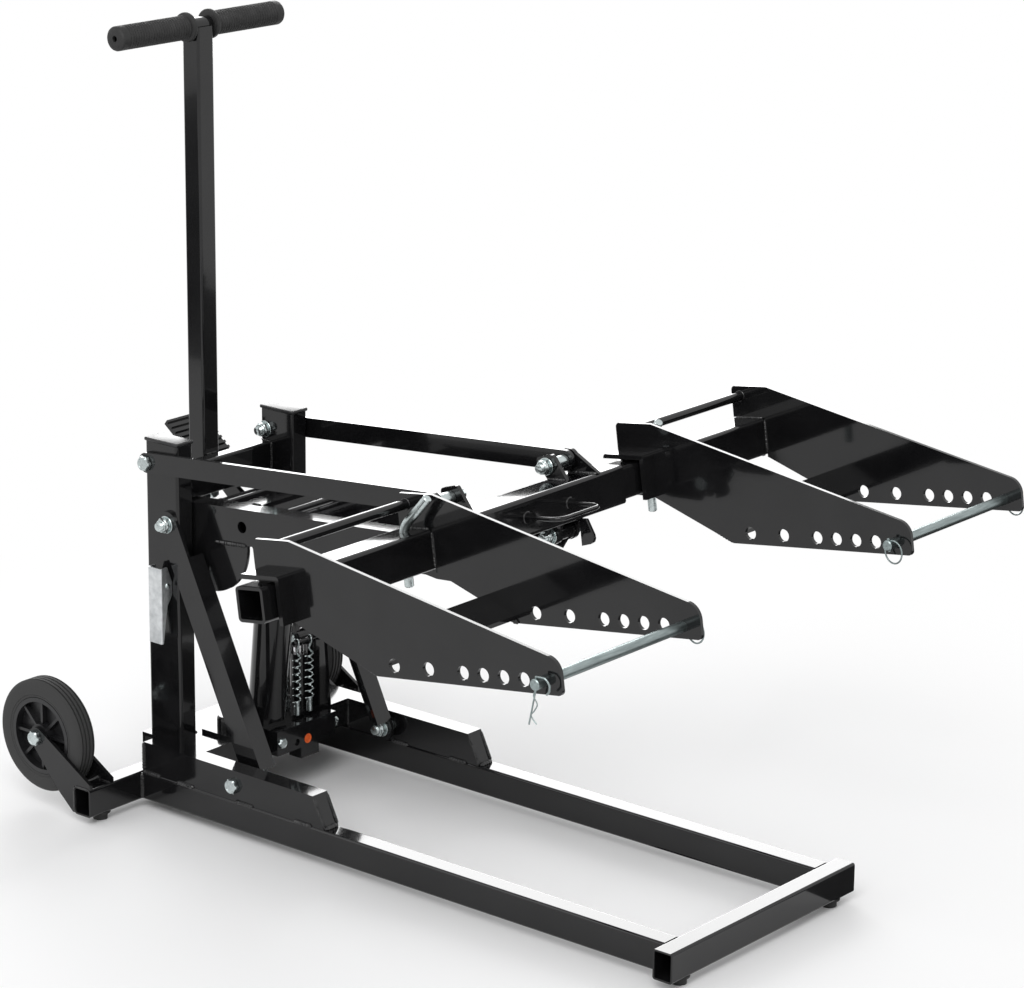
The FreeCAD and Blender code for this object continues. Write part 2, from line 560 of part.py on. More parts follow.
def tyre(label, side):
    """A grooved tyre with rounded shoulders."""
    x = out(side, "wheel_x - wheel_width / 2", "wheel_width")
    outer = rod("x", x, "wheel_y", "wheel_z", "wheel_radius", "wheel_width")
    doc.recompute()
    soft = doc.addObject("Part::Fillet", "soft")
    soft.Base = outer
    shoulder = SIZES["tyre_shoulder"]
    rims = [n for n, edge in enumerate(outer.Shape.Edges, start=1) if edge.Closed]
    soft.Edges = [(number, shoulder, shoulder) for number in rims]
    grooves = []
    for number in range(COUNTS["groove_count"]):
        step = f"groove_pitch * {number - (COUNTS['groove_count'] - 1) / 2}"
        at = f"wheel_x + {step} - groove_width / 2"
        grooves.append(ring("x", out(side, at, "groove_width"), "wheel_y", "wheel_z",
                            "wheel_radius + groove_depth", "wheel_radius - groove_depth", "groove_width"))
    inside = rod("x", x, "wheel_y", "wheel_z", "tyre_inner", "wheel_width")
    node(f"tyre_{label}", cut(soft, inside, *grooves))


def hub(label, side):
    """A moulded hub: rim, web, boss and radial ribs."""
    def centred(width):
        return out(side, f"wheel_x - ({width}) / 2", width)

    rim = ring("x", centred("hub_width"), "wheel_y", "wheel_z", "tyre_inner", "tyre_inner - hub_rim", "hub_width")
    web = rod("x", centred("hub_web"), "wheel_y", "wheel_z", "tyre_inner - hub_rim", "hub_web")
    boss = rod("x", centred("wheel_width"), "wheel_y", "wheel_z", "hub_boss", "wheel_width")
    ribs = []
    for number in range(COUNTS["hub_rib_count"] // 2):
        rib = doc.addObject("Part::Box", "rib")
        reach = "(tyre_inner - hub_rim / 2)"
        bind(rib, Length="hub_width * 3 / 4", Width="hub_rib", Height=f"2 * {reach}",
             x="-hub_width * 3 / 8", y="-hub_rib / 2", z=f"-{reach}")
        turned = doc.addObject("Part::Compound", "turned_rib")
        turned.Links = [rib]
        turn(turned, (1, 0, 0), f"{number} * 360 deg / hub_rib_count")
        bind(turned, x="wheel_x" if side > 0 else "-wheel_x", y="wheel_y", z="wheel_z")
        ribs.append(turned)
    axle = rod("x", centred("wheel_width"), "wheel_y", "wheel_z", RUNNING_BORE, "wheel_width")
    node(f"hub_{label}", cut(join(rim, web, boss, *ribs), axle))


def lower_arms():
    """The two lower arms with everything welded between them, in the arm's own frame."""
    length = LINK_LENGTH
    half = "arm_height / 2"
    nose = f"-({length} - arm_nose_back)"
    outline = [("0", f"-{half}"), ("0", half), (nose, half),
               (f"-({length} - neck_far)", "-neck_drop"), (f"-({length} - neck_near)", "-neck_drop"),
               (f"-({length} - arm_eye_radius)", "0"), (f"-{length}", "arm_eye_radius / 2"),
               (f"-{length}", "-arm_eye_radius"), (f"-({length} - arm_eye_radius)", "-neck_low"),
               (f"-({length} - neck_low_far)", "-neck_low"), (nose, f"-{half}")]
    arms, gussets, bolts = [], [], []
    for side in SIDES:
        x = out(side, "arm_inner", "arm_width")
        inside_x = f"{x} + arm_lug"
        inside = "arm_width - 2 * arm_lug"
        solid = join(bind(plate("YZ", outline, "arm_width"), x=x),
                     rod("x", x, "0", "0", half, "arm_width"),
                     rod("x", x, f"-{length}", "0", "arm_eye_radius", "arm_width"))
        tunnel = block(inside_x, f"-{length} - arm_height", f"-{half} + arm_wall", inside,
                       f"{length} + 2 * arm_height", "arm_height - 2 * arm_wall")
        fork = block(inside_x, f"-{length} - arm_height", "-arm_height", inside,
                     "arm_height + arm_nose_back", "2 * arm_height")
        heel = block(inside_x, f"-{half} / 2", "-arm_height", inside, "arm_height", "2 * arm_height")
        bosses = [rod("x", x, at, "0", "pivot_boss_radius", "arm_width") for at in ("0", f"-{length}")]
        window = rod("x", out(side, "arm_inner + arm_width - arm_lug", "arm_lug"), "-arm_hole_back", "0",
                     "arm_hole_radius", "arm_lug")
        holes = [rod("x", x, at, "0", RUNNING_BORE, "arm_width") for at in ("0", f"-{length}")]
        arms.append(cut(join(cut(solid, tunnel, fork, heel), *bosses), window, *holes))
        sector = rod("x", out(side, "arm_inner + arm_width - gusset_plate", "gusset_plate"), "-gusset_back",
                     f"-{half}", "gusset_radius", "gusset_plate")
        room = block("-inner_half", "-gusset_back - gusset_radius", f"-{half} - gusset_radius", "2 * inner_half",
                     "gusset_back + gusset_radius - gusset_rear_back", "gusset_radius")
        gussets.append(common(sector, room))
        bolts += cross_bolt(side, "low_pivot_y", "low_pivot_z", "arm_inner - side_gap",
                            f"{UPRIGHT_OUTER} + brace_plate", head_outside=False)
    node("lower_arms", group(*arms), "arm")
    node("arm_gussets", group(*gussets), "arm")
    node("arm_pivot_bolts", group(*bolts))
    span = "2 * arm_inner"
    tie_tube = box_tube("-arm_inner", "-tie_one_back - tie_one_width / 2", f"{half} - tie_one_height",
                        span, "tie_one_width", "tie_one_height", "tube_wall", "x")
    tie_plate = block("-arm_inner", "-tie_two_back - tie_two_width", f"{half} - tie_two_height", span,
                      "tie_two_width", "tie_two_height")
    tie_rod = rod("x", "-arm_inner", "-tie_three_back", "tie_three_up", "tie_three_radius", span)
    node("arm_ties", group(tie_tube, tie_plate, tie_rod), "arm")
    node("lift_shaft", rod("x", "-arm_inner", "-shaft_back", "-shaft_drop", "shaft_radius", span), "arm")


def upper_links():
    """The two flat upper links and their rear pivot bolts."""
    bolts, links = [], []
    y = f"{TOP_PIVOT_Y} + link_run"
    z = f"{TOP_PIVOT_Z} - link_rise"
    for side in SIDES:
        x = out(side, f"{UPRIGHT_OUTER} + link_gap", "link_plate")
        bar = join(block(x, f"-{LINK_LENGTH}", "-link_height / 2", "link_plate", LINK_LENGTH, "link_height"),
                   rod("x", x, "0", "0", "link_height / 2", "link_plate"),
                   rod("x", x, f"-{LINK_LENGTH}", "0", "link_height / 2", "link_plate"))
        holes = [rod("x", x, at, "0", RUNNING_BORE, "link_plate") for at in ("0", f"-{LINK_LENGTH}")]
        links.append(cut(bar, *holes))
        head_at = f"{UPRIGHT_OUTER} + link_gap + link_plate + side_gap"
        bolts += cross_bolt(side, y, z, head_at, "upright_inner")
    node("upper_links", group(*links), "link")
    node("link_pivot_bolts", group(*bolts))


def carriage():
    """The beam: centre tube, inner tube, ears, spacers, bolts and tie-down loop."""
    half = "beam_size / 2"
    node("beam_centre_tube", box_tube("-beam_half", f"-{half}", f"-{half}", "2 * beam_half", "beam_size",
                                      "beam_size", "beam_wall", "x"), "carriage")
    inner = "(beam_size - 2 * beam_wall)"
    tube = box_tube("-inner_half", f"-{inner} / 2", f"-{inner} / 2", "2 * inner_half", inner, inner, "inner_wall",
                    "x")
    slots = []
    for pin_x, left, right in ((LEFT_PIN_X, "pan_slide_out", "0"), (RIGHT_PIN_X, "pan_slide_in", "pan_slide_out")):
        slots.append(block(f"{pin_x} - {left} - slot_width / 2", "-slot_width / 2", f"-{half}",
                           f"{left} + {right} + slot_width", "slot_width", "beam_size"))
    node("beam_inner_tube", cut(tube, *slots), "carriage")
    beam_ears()
    front_bolts()
    tie_down_loop()


def beam_ears():
    """The ears on the beam that hold the upper links and the lower arms."""
    half = "beam_size / 2"
    top_hole = rod("x", "-inner_half", "top_pivot_back", "top_pivot_up", "bolt_radius", "2 * inner_half")
    pivot_y, pivot_z = low_front_pivot()
    low_hole = rod("x", "-inner_half", pivot_y, pivot_z, "bolt_radius", "2 * inner_half")
    upper, lower = [], []
    for side in SIDES:
        strip = plate("YZ", [("-ear_foot_front", half), ("ear_foot_back", half),
                             ("ear_top_back", "ear_top_up - ear_corner"), ("ear_top_front", "ear_top_up")],
                      "ear_plate", {2: "ear_corner", 3: "ear_corner"})
        bind(strip, x=out(side, "ear_inner", "ear_plate"))
        x = out(side, "outer_ear_inner", "ear_plate")
        fin = plate("YZ", [(f"-{half}", half), (half, half), (half, "top_pivot_up"),
                           ("top_pivot_back - ear_round / 2", "top_pivot_up + ear_round * 4 / 5")], "ear_plate")
        rounded = rod("x", x, "top_pivot_back", "top_pivot_up", "ear_round", "ear_plate")
        upper += [cut(strip, top_hole), cut(join(bind(fin, x=x), rounded), top_hole)]
        for start in ("low_ear_inner", "low_ear_outer"):
            x = out(side, start, "ear_plate")
            fin = plate("YZ", [("-low_ear_half", f"-{half}"), ("low_ear_half", f"-{half}"),
                               (f"{pivot_y} + low_ear_round", pivot_z), (f"{pivot_y} - low_ear_round", pivot_z)],
                        "ear_plate")
            rounded = rod("x", x, pivot_y, pivot_z, "low_ear_round", "ear_plate")
            lower.append(cut(join(bind(fin, x=x), rounded), low_hole))
    node("upper_ears", group(*upper), "carriage")
    node("lower_ears", group(*lower), "carriage")


def low_front_pivot():
    """The arms' front pivot in the carriage's own frame, as two formulas."""
    y = "(low_pivot_y - link_run - beam_y)"
    z = "(low_pivot_z + link_rise - beam_z)"
    angle = PITCH
    return f"({y} * cos({angle}) - {z} * sin({angle}))", f"({y} * sin({angle}) + {z} * cos({angle}))"


def front_bolts():
    """Bolts, nuts, washers and spacer bushes at the linkage's front pivots."""
    pieces = []
    pivot_y, pivot_z = low_front_pivot()
    for side in SIDES:
        pieces += cross_bolt(side, "top_pivot_back", "top_pivot_up", "outer_ear_inner + ear_plate", "ear_inner")
        pieces += cross_bolt(side, pivot_y, pivot_z, "low_ear_outer + ear_plate", "low_ear_inner")
        start = "ear_inner + ear_plate"
        length = f"{UPRIGHT_OUTER} + link_gap - side_gap - ({start})"
        pieces.append(ring("x", out(side, start, length), "top_pivot_back", "top_pivot_up", "spacer_radius",
                           "bolt_radius", length))
    node("front_pivot_bolts", group(*pieces), "carriage")


def tie_down_loop():
    """A bent rod loop on the beam's front face with its two bosses."""
    face = "-beam_size / 2"
    reach = "(loop_reach - loop_bend)"
    bosses, legs, bends = [], [], []
    for x, sign in (("loop_left_x", 1), ("loop_right_x", -1)):
        bosses.append(ring("y", x, f"{face} - loop_boss_length", "0", "loop_boss_radius", "loop_wire",
                           "loop_boss_length"))
        legs.append(rod("y", x, f"{face} - {reach}", "0", "loop_wire", reach))
        centre = f"{x} + loop_bend" if sign > 0 else f"{x} - loop_bend"
        bend = doc.addObject("Part::Torus", "bend")
        bind(bend, Radius1="loop_bend", Radius2="loop_wire", x=centre, y=f"{face} - {reach}")
        low = x if sign > 0 else centre
        low = f"{low} - loop_wire" if sign > 0 else low
        quarter = block(low, f"{face} - loop_reach - loop_wire", "-loop_wire", "loop_bend + loop_wire",
                        "loop_bend + loop_wire", "2 * loop_wire")
        bends.append(common(bend, quarter))
    bridge = rod("x", "loop_left_x + loop_bend", f"{face} - loop_reach", "0", "loop_wire",
                 "loop_right_x - loop_left_x - 2 * loop_bend")
    node("tie_down_loop", group(join(*legs, *bends, bridge), *bosses), "carriage")


def pan(label, start, pin_x):
    """One wheel pan: sleeve, collar, side plates, rods and lock pin, in the carriage's frame."""
    half = "beam_size / 2"
    bore_size = "(beam_size - 2 * beam_wall + 2 * sleeve_gap)"
    pin_hole = rod("z", pin_x, "0", "-beam_size", "pin_radius + pin_gap / 2", "2 * beam_size")
    shell = soft_bar("YZ", f"-{half}", f"-{half}", "beam_size", "beam_size", "pan_width",
                     "beam_wall * outer_corner_share")
    channel = soft_bar("YZ", f"-{bore_size} / 2", f"-{bore_size} / 2", bore_size, bore_size, "pan_width",
                       "inner_wall * outer_corner_share / 2")
    sleeve = cut(bind(shell, x=start), bind(channel, x=start), pin_hole)
    node(f"pan_sleeve_{label}", sleeve, "carriage")
    outline = [(half, half), ("pan_rear_back", half), ("pan_rear_back", "pan_top_up"),
               ("-pan_top_front", "pan_top_up"), ("-pan_front", "-pan_front_up_drop"),
               ("-pan_front", "-pan_low_drop"), ("-pan_low_back", "-pan_low_drop"),
               ("-pan_heel_front", "-pan_heel_drop"), (f"-{half}", "-pan_heel_drop"), (f"-{half}", half)]
    holes = ["pan_hole_first", "pan_hole_second"]
    holes += [f"pan_hole_third + pan_hole_step * {number}" for number in range(4)]
    sides = []
    for x in (start, f"{start} + pan_width - pan_plate"):
        side = bind(plate("YZ", outline, "pan_plate", {2: "pan_small_corner", 3: "pan_small_corner",
                                                        4: "pan_corner", 5: "pan_small_corner",
                                                        6: "pan_small_corner"}), x=x)
        cutters = [rod("x", x, f"-({at})", "-pan_hole_drop", "pan_hole_radius", "pan_plate") for at in holes]
        cutters.append(rod("x", x, "-pan_last_hole", "-pan_hole_drop", "front_rod_radius + front_rod_gap",
                           "pan_plate"))
        sides.append(cut(side, *cutters))
    node(f"pan_plates_{label}", group(*sides), "carriage")
    inside_x, inside = f"{start} + pan_plate", "pan_width - 2 * pan_plate"
    rear_rod = rod("x", inside_x, "rear_rod_back", "rear_rod_up", "rear_rod_radius", inside)
    strip = plate("YZ", [("-strip_front", "-strip_low_drop"), ("-strip_back", "-strip_up_drop"),
                         ("-strip_back", "-strip_up_drop + strip_plate"),
                         ("-strip_front", "-strip_low_drop + strip_plate")], inside)
    node(f"pan_cross_bars_{label}", group(rear_rod, bind(strip, x=inside_x)), "carriage")
    pan_front_rod(label, start)
    collar_x = f"{start} - collar_width"
    collar = plate("YZ", [("-collar_front", "-collar_drop"), ("-collar_front + collar_bar", "-collar_drop"),
                          ("-collar_front + collar_bar", half), ("collar_back", half),
                          ("collar_back", f"{half} + collar_bar"), ("-collar_front", f"{half} + collar_bar")],
                   "collar_width", {4: "collar_corner", 5: "collar_corner"})
    node(f"pan_collar_{label}", bind(collar, x=collar_x), "carriage")
    stem = rod("z", pin_x, "0", "-pin_low", "pin_radius", "pin_up + pin_low")
    reach = rod("y", pin_x, "-pin_bend", "pin_up", "pin_radius", "pin_bend")
    knob = doc.addObject("Part::Sphere", "elbow")
    bind(knob, Radius="pin_radius", x=pin_x, y="0", z="pin_up")
    node(f"lock_pin_{label}", join(stem, reach, knob), "carriage")


def pan_front_rod(label, start):
    """The loose rod at the pan's front and the ring clips at its ends."""
    x = f"{start} - front_rod_tail"
    length = "pan_width + 2 * front_rod_tail"
    pieces = [rod("x", x, "-pan_last_hole", "-pan_hole_drop", "front_rod_radius", length)]
    for at in (f"{start} - front_rod_tail * 2 / 3", f"{start} + pan_width + front_rod_tail * 2 / 3"):
        clip = spin(doc.addObject("Part::Torus", "clip"), "x")
        radius = "front_rod_radius + clip_wire"
        bind(clip, Radius1=radius, Radius2="clip_wire", x=at, y="-pan_last_hole", z="-pan_hole_drop")
        pieces.append(clip)
    node(f"pan_front_rod_{label}", group(*pieces), "carriage")


def jack():
    """The hydraulic jack on its plate, with the valve block in front."""
    plate_front = "channel_front_y"
    node("jack_plate", block("-jack_plate_half", plate_front, CHANNEL_TOP, "2 * jack_plate_half",
                             f"jack_plate_rear_y - {plate_front}", "jack_plate_height"))
    seat = block("-jack_seat_half", "jack_seat_front_y", PLATE_TOP, "2 * jack_seat_half",
                 "jack_seat_rear_y - jack_seat_front_y", "jack_seat_height")
    socket = doc.addObject("Part::Compound", "socket")
    socket.Links = [rod("z", "0", "0", "jack_low", "jack_radius", "jack_top")]
    turn(socket, (1, 0, 0), JACK_LEAN)
    bind(socket, y="jack_foot_y", z="jack_foot_z")
    node("jack_seat", cut(seat, socket))
    cylinder = cut(rod("z", "0", "0", "jack_low", "jack_radius", "jack_top - jack_low"),
                   rod("z", "0", "0", "jack_low + jack_floor", "jack_bore_radius", "jack_top"))
    gland = ring("z", "0", "0", "jack_top", "gland_radius", "jack_bore_radius", "gland_height")
    node("jack_cylinder", group(cylinder, gland), "jack")
    shaft_height = "sqrt((jack_foot_y - low_pivot_y + shaft_run) ^ 2 + (low_pivot_z - shaft_fall - jack_foot_z) ^ 2)"
    saddle_top = f"({shaft_height} - shaft_radius - saddle_gap)"
    ram = rod("z", "0", "0", "ram_low", "ram_radius", f"{saddle_top} - ram_low - saddle_height")
    saddle = block("-saddle_width / 2", "-saddle_length / 2", f"{saddle_top} - saddle_height",
                   "saddle_width", "saddle_length", "saddle_height")
    node("jack_ram", group(ram, saddle), "jack")
    valve_block()


def valve_block():
    """The jack's valve block on the channel's front flange."""
    front, low = "valve_front_y", "valve_low_z"
    body = block("valve_left_x", front, low, "valve_right_x - valve_left_x", f"channel_front_y - {front}",
                 f"{CHANNEL_TOP} - {low}")
    key = block("key_left_x", front, "key_low_z", "key_right_x - key_left_x", f"channel_front_y - {front}",
                f"{low} - key_low_z")
    pocket = rod("y", "valve_dot_x", front, "valve_dot_z", "valve_dot_radius", "valve_dot_depth")
    plug_hole = rod("y", "valve_plug_x", front, "valve_dot_z", "valve_plug_radius", "valve_dot_depth")
    node("valve_block", cut(join(body, key), pocket, plug_hole))
    node("valve_fittings", group(
        rod("y", "valve_dot_x", front, "valve_dot_z", "valve_dot_radius", "valve_dot_depth"),
        hexagon("y", "valve_bolt_x", f"{front} - small_head_height", "valve_bolt_z", "small_hex_across",
                "small_head_height"),
        hexagon("x", "valve_right_x", f"({front} + channel_front_y) / 2 - small_hex_across / 2", "valve_bolt_z",
                "small_hex_across", "small_head_height"),
        rod("z", "boss_x", "boss_y", PLATE_TOP, "boss_radius", "boss_height")))


def pedal_pump():
    """Pump body and plunger, bracket, springs, lever and pedal."""
    body = rod("z", "pump_x", "pump_y", PLATE_TOP, "pump_radius", f"pump_top_z - {PLATE_TOP}")
    bored = rod("z", "pump_x", "pump_y", "pump_floor_z", "plunger_radius + plunger_gap", "pump_top_z")
    node("pump_body", cut(body, bored))
    node("pump_plunger", rod("z", "pump_x", "pump_y", "plunger_low_z", "plunger_radius",
                             "plunger_top_z - plunger_low_z"))
    top_half = "bracket_half"
    fin = plate("YZ", [("lever_y - bracket_low_half", PLATE_TOP), ("lever_y + bracket_low_half", PLATE_TOP),
                       (f"lever_y + {top_half}", "lever_z"), (f"lever_y - {top_half}", "lever_z")], "bracket_plate")
    bind(fin, x="bracket_x")
    bracket = cut(join(fin, rod("x", "bracket_x", "lever_y", "lever_z", top_half, "bracket_plate")),
                  bore("lever_y", "lever_z", "lever_bolt_radius"))
    foot_x = "jack_plate_half"
    foot = block(foot_x, "lever_y - bracket_low_half", CHANNEL_TOP, "bracket_x + bracket_plate - jack_plate_half",
                 "2 * bracket_low_half", "jack_plate_height")
    node("lever_bracket", join(bracket, foot))
    head = hexagon("x", "lever_left_x - side_gap - small_head_height", "lever_y", "lever_z", "small_hex_across",
                   "small_head_height")
    shank = rod("x", "lever_left_x - side_gap", "lever_y", "lever_z", "lever_bolt_radius",
                "bracket_x + bracket_plate + bolt_tail - lever_left_x")
    lever()
    springs(join(head, shank))


def lever():
    """The cranked pedal lever and its ridged pedal."""
    x = "lever_left_x"
    rise_y, rise_z = "cos(pedal_deg * 1 deg)", "sin(pedal_deg * 1 deg)"
    under = "(pedal_plate + lever_half)"
    outline = [
        ("lever_y - lever_half", "lever_z"), ("lever_y + lever_half", "lever_z"),
        ("knee_y + knee_half", "knee_z - knee_half"),
        (f"pedal_y + {under} * {rise_z} + lever_stub * {rise_y}",
         f"pedal_z - {under} * {rise_y} + lever_stub * {rise_z}"),
        (f"pedal_y + pedal_plate * {rise_z} + lever_stub * {rise_y}",
         f"pedal_z - pedal_plate * {rise_y} + lever_stub * {rise_z}"),
        (f"pedal_y + pedal_plate * {rise_z} - lever_stub * {rise_y}",
         f"pedal_z - pedal_plate * {rise_y} - lever_stub * {rise_z}"),
        ("knee_y - knee_half", "knee_z + knee_half"),
    ]
    arm = bind(plate("YZ", outline, "lever_plate"), x=x)
    hub_tube = rod("x", x, "lever_y", "lever_z", "lever_hub_radius", "lever_hub_right_x - lever_left_x")
    pad = block("pump_x - crank_pad_width / 2", "lever_y", "plunger_top_z + plunger_clear", "crank_pad_width",
                "pump_y - lever_y + plunger_radius", "crank_pad_height")
    rib = block("pump_x - crank_pad_width / 2", "lever_y", "plunger_top_z + plunger_clear", "crank_pad_width",
                "lever_hub_radius", f"lever_z - plunger_top_z")
    front = block(x, "lever_y - crank_front", "lever_z - crank_half", "lever_plate", "crank_front",
                  "2 * crank_half")
    pin = rod("x", "crank_left_x", "lever_y - crank_front", "lever_z", "crank_pin_radius",
              "spring_two_x - crank_left_x + spring_coil_radius")
    whole = cut(join(arm, hub_tube, pad, rib, front, pin),
                rod("x", x, "lever_y", "lever_z", "lever_bolt_radius + pivot_gap", "lever_hub_right_x - lever_left_x"))
    node("pedal_lever", whole)
    top = block("-pedal_width / 2", "-pedal_length / 2", "-pedal_plate", "pedal_width", "pedal_length",
                "pedal_plate")
    pitch = f"(pedal_length - pedal_ridge_width) / (pedal_ridge_count - 1)"
    ridges = [block("-pedal_width / 2", f"-pedal_length / 2 + {pitch} * {number}", "0", "pedal_width",
                    "pedal_ridge_width", "pedal_ridge") for number in range(COUNTS["pedal_ridge_count"])]
    whole = doc.addObject("Part::Compound", "pedal")
    whole.Links = [join(top, *ridges)]
    turn(whole, (1, 0, 0), "pedal_deg * 1 deg")
    bind(whole, x="pedal_x", y="pedal_y", z="pedal_z")
    node("pedal", whole)


def spring_curve(x, y, low, high, radius, turns):
    """A helix of biarcs: two arcs for every quarter turn, tangent to one another."""
    steps = 4 * turns
    rise = (high - low) / steps
    slope = rise / (radius * math.pi / 2)

    def point(step):
        angle = step * math.pi / 2
        return FreeCAD.Vector(x + radius * math.cos(angle), y + radius * math.sin(angle), low + rise * step)

    def heading(step):
        angle = step * math.pi / 2
        return FreeCAD.Vector(-math.sin(angle), math.cos(angle), slope).normalize()

    edges = []
    for step in range(steps):
        edges += biarc(point(step), heading(step), point(step + 1), heading(step + 1))
    return Part.Wire(edges)


def biarc(start, leaving, end, arriving):
    """Two arcs that join two points and keep both headings."""
    chord = end - start
    both = leaving + arriving
    lead = 2 * (1 - leaving.dot(arriving))
    pull = chord.dot(both)
    reach = (-pull + math.sqrt(pull * pull + lead * chord.dot(chord))) / lead
    middle = ((start + leaving * reach) + (end - arriving * reach)) * 0.5
    return [arc(start, leaving, middle), arc(end, arriving * -1, middle)]


def arc(start, heading, end):
    """The arc that leaves start along the heading and reaches end."""
    chord = end - start
    inward = (chord - heading * chord.dot(heading)).normalize()
    radius = chord.dot(chord) / (2 * chord.dot(inward))
    centre = start + inward * radius
    bisect = ((start + end) * 0.5 - centre).normalize()
    return Part.Arc(start, centre + bisect * radius, end).toShape()


def least_gap(path, turns):
    """Least distance between points of a spring's middle line that lie over half a turn apart."""
    points = path.discretize(Number=COUNTS["points_per_turn"] * turns)
    skip = COUNTS["points_per_turn"] // 2
    return min((a - b).Length for i, a in enumerate(points) for b in points[i + skip:])


def springs(lever_bolt):
    """Two return springs beside the pump, each one unbroken tube, and the pump's fasteners."""
    radius, wire = SIZES["spring_coil_radius"], SIZES["spring_wire"]
    low, high = SIZES["spring_low_z"], SIZES["spring_top_z"]
    turns = COUNTS["spring_turn_count"]
    posts, coils = [lever_bolt], []
    for number, x in enumerate(("spring_one_x", "spring_two_x"), start=1):
        path = spring_curve(SIZES[x], SIZES["spring_y"], low, high, radius, turns)
        start = path.Edges[0]
        profile = Part.Wire(Part.Circle(start.valueAt(start.FirstParameter),
                                        start.tangentAt(start.FirstParameter), wire).toShape())
        shell = Part.BRepOffsetAPI.MakePipeShell(path)
        shell.add(profile)
        shell.build()
        shell.makeSolid()
        coil = doc.addObject("Part::Feature", f"return_spring_{number}")
        coil.Shape = shell.shape()
        coils.append(coil)
        print("spring", number, "least self gap", round(least_gap(path, turns) - 2 * wire, 2))
        posts.append(rod("z", x, "spring_y", PLATE_TOP, "spring_post_radius",
                         f"spring_low_z + spring_coil_radius - {PLATE_TOP}"))
    node("return_springs", group(*coils))
    node("pump_fasteners", group(*posts))


def lock_lever():
    """The zinc lock lever on the left upright, its pin and its two lugs."""
    web_x = "-lock_web_x - lock_plate"
    web = plate("YZ", [("lock_front_y", "lock_top_z"), ("lock_front_y", "lock_pin_z - lock_round"),
                       ("lock_tail_y", "lock_low_z"), ("lock_rear_y", "lock_low_z"), ("lock_rear_y", "lock_top_z")],
                "lock_plate")
    bind(web, x=web_x)
    sides = []
    for y in ("lock_front_y", "lock_rear_y - lock_plate"):
        sides.append(rod("y", "-lock_pin_x", y, "lock_pin_z", "lock_round", "lock_plate"))
        sides.append(block(web_x, y, "lock_pin_z - lock_round", "lock_web_x + lock_plate - lock_pin_x", "lock_plate",
                           "2 * lock_round"))
    hole = rod("y", "-lock_pin_x", "lock_front_y", "lock_pin_z", "lock_pin_radius + pivot_gap",
               "lock_rear_y - lock_front_y")
    node("lock_lever", cut(join(web, *sides), hole))
    lugs = []
    for y in ("lock_front_y + lock_plate + side_gap", "lock_rear_y - lock_plate - side_gap - lock_lug"):
        lug = join(rod("y", "-lock_pin_x", y, "lock_pin_z", "lock_lug_round", "lock_lug"),
                   block("-lock_pin_x", y, "lock_pin_z - lock_lug_round", f"lock_pin_x - {UPRIGHT_OUTER}",
                         "lock_lug", "2 * lock_lug_round"))
        lugs.append(cut(lug, rod("y", "-lock_pin_x", y, "lock_pin_z", "lock_pin_radius", "lock_lug")))
    pin = rod("y", "-lock_pin_x", "lock_front_y - lock_plate", "lock_pin_z", "lock_pin_radius",
              "lock_rear_y - lock_front_y + 2 * lock_plate")
    node("lock_lever_mount", group(pin, *lugs))


def check_all():
    """Stop if any object failed or any node's shape is empty or invalid."""
    doc.recompute()
    for thing in doc.Objects:
        if "Invalid" in thing.State or "Error" in thing.State:
            raise SystemExit(f"{thing.Name} {thing.Label}: {thing.State}")
    for name, thing in nodes:
        shape = thing.Shape
        if shape.isNull() or not shape.isValid() or not shape.Solids:
            raise SystemExit(f"{name}: shape is empty or invalid")


def export():
    """Centre the whole on its bounding box and write one STEP file for each node."""
    whole = FreeCAD.BoundBox()
    for name, thing in nodes:
        whole.add(thing.Shape.BoundBox)
    shift = FreeCAD.Vector(-whole.Center.x, -whole.Center.y, -whole.ZMin)
    print("shift", tuple(round(v, 3) for v in shift), "size", whole.XLength, whole.YLength, whole.ZLength)
    os.makedirs("parts", exist_ok=True)
    for name, thing in nodes:
        shape = thing.Shape.copy()
        shape.translate(shift)
        shape.exportStep(f"parts/{name}.step")
        print(name, len(shape.Solids), round(shape.Volume / 1000, 1))
    print("nodes", len(nodes))


base_frame()
uprights()
handle()
braces()
wheels()
lower_arms()
upper_links()
carriage()
pan("left", "pan_left_x", LEFT_PIN_X)
pan("right", "pan_right_x", RIGHT_PIN_X)
jack()
pedal_pump()
lock_lever()
check_all()
export()
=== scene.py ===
"""Looks of a lawn mower lift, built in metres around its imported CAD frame."""

import json
import logging
import math
import random
from dataclasses import dataclass, field
from enum import Enum
from functools import cache

import bmesh
import bpy
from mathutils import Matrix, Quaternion, Vector

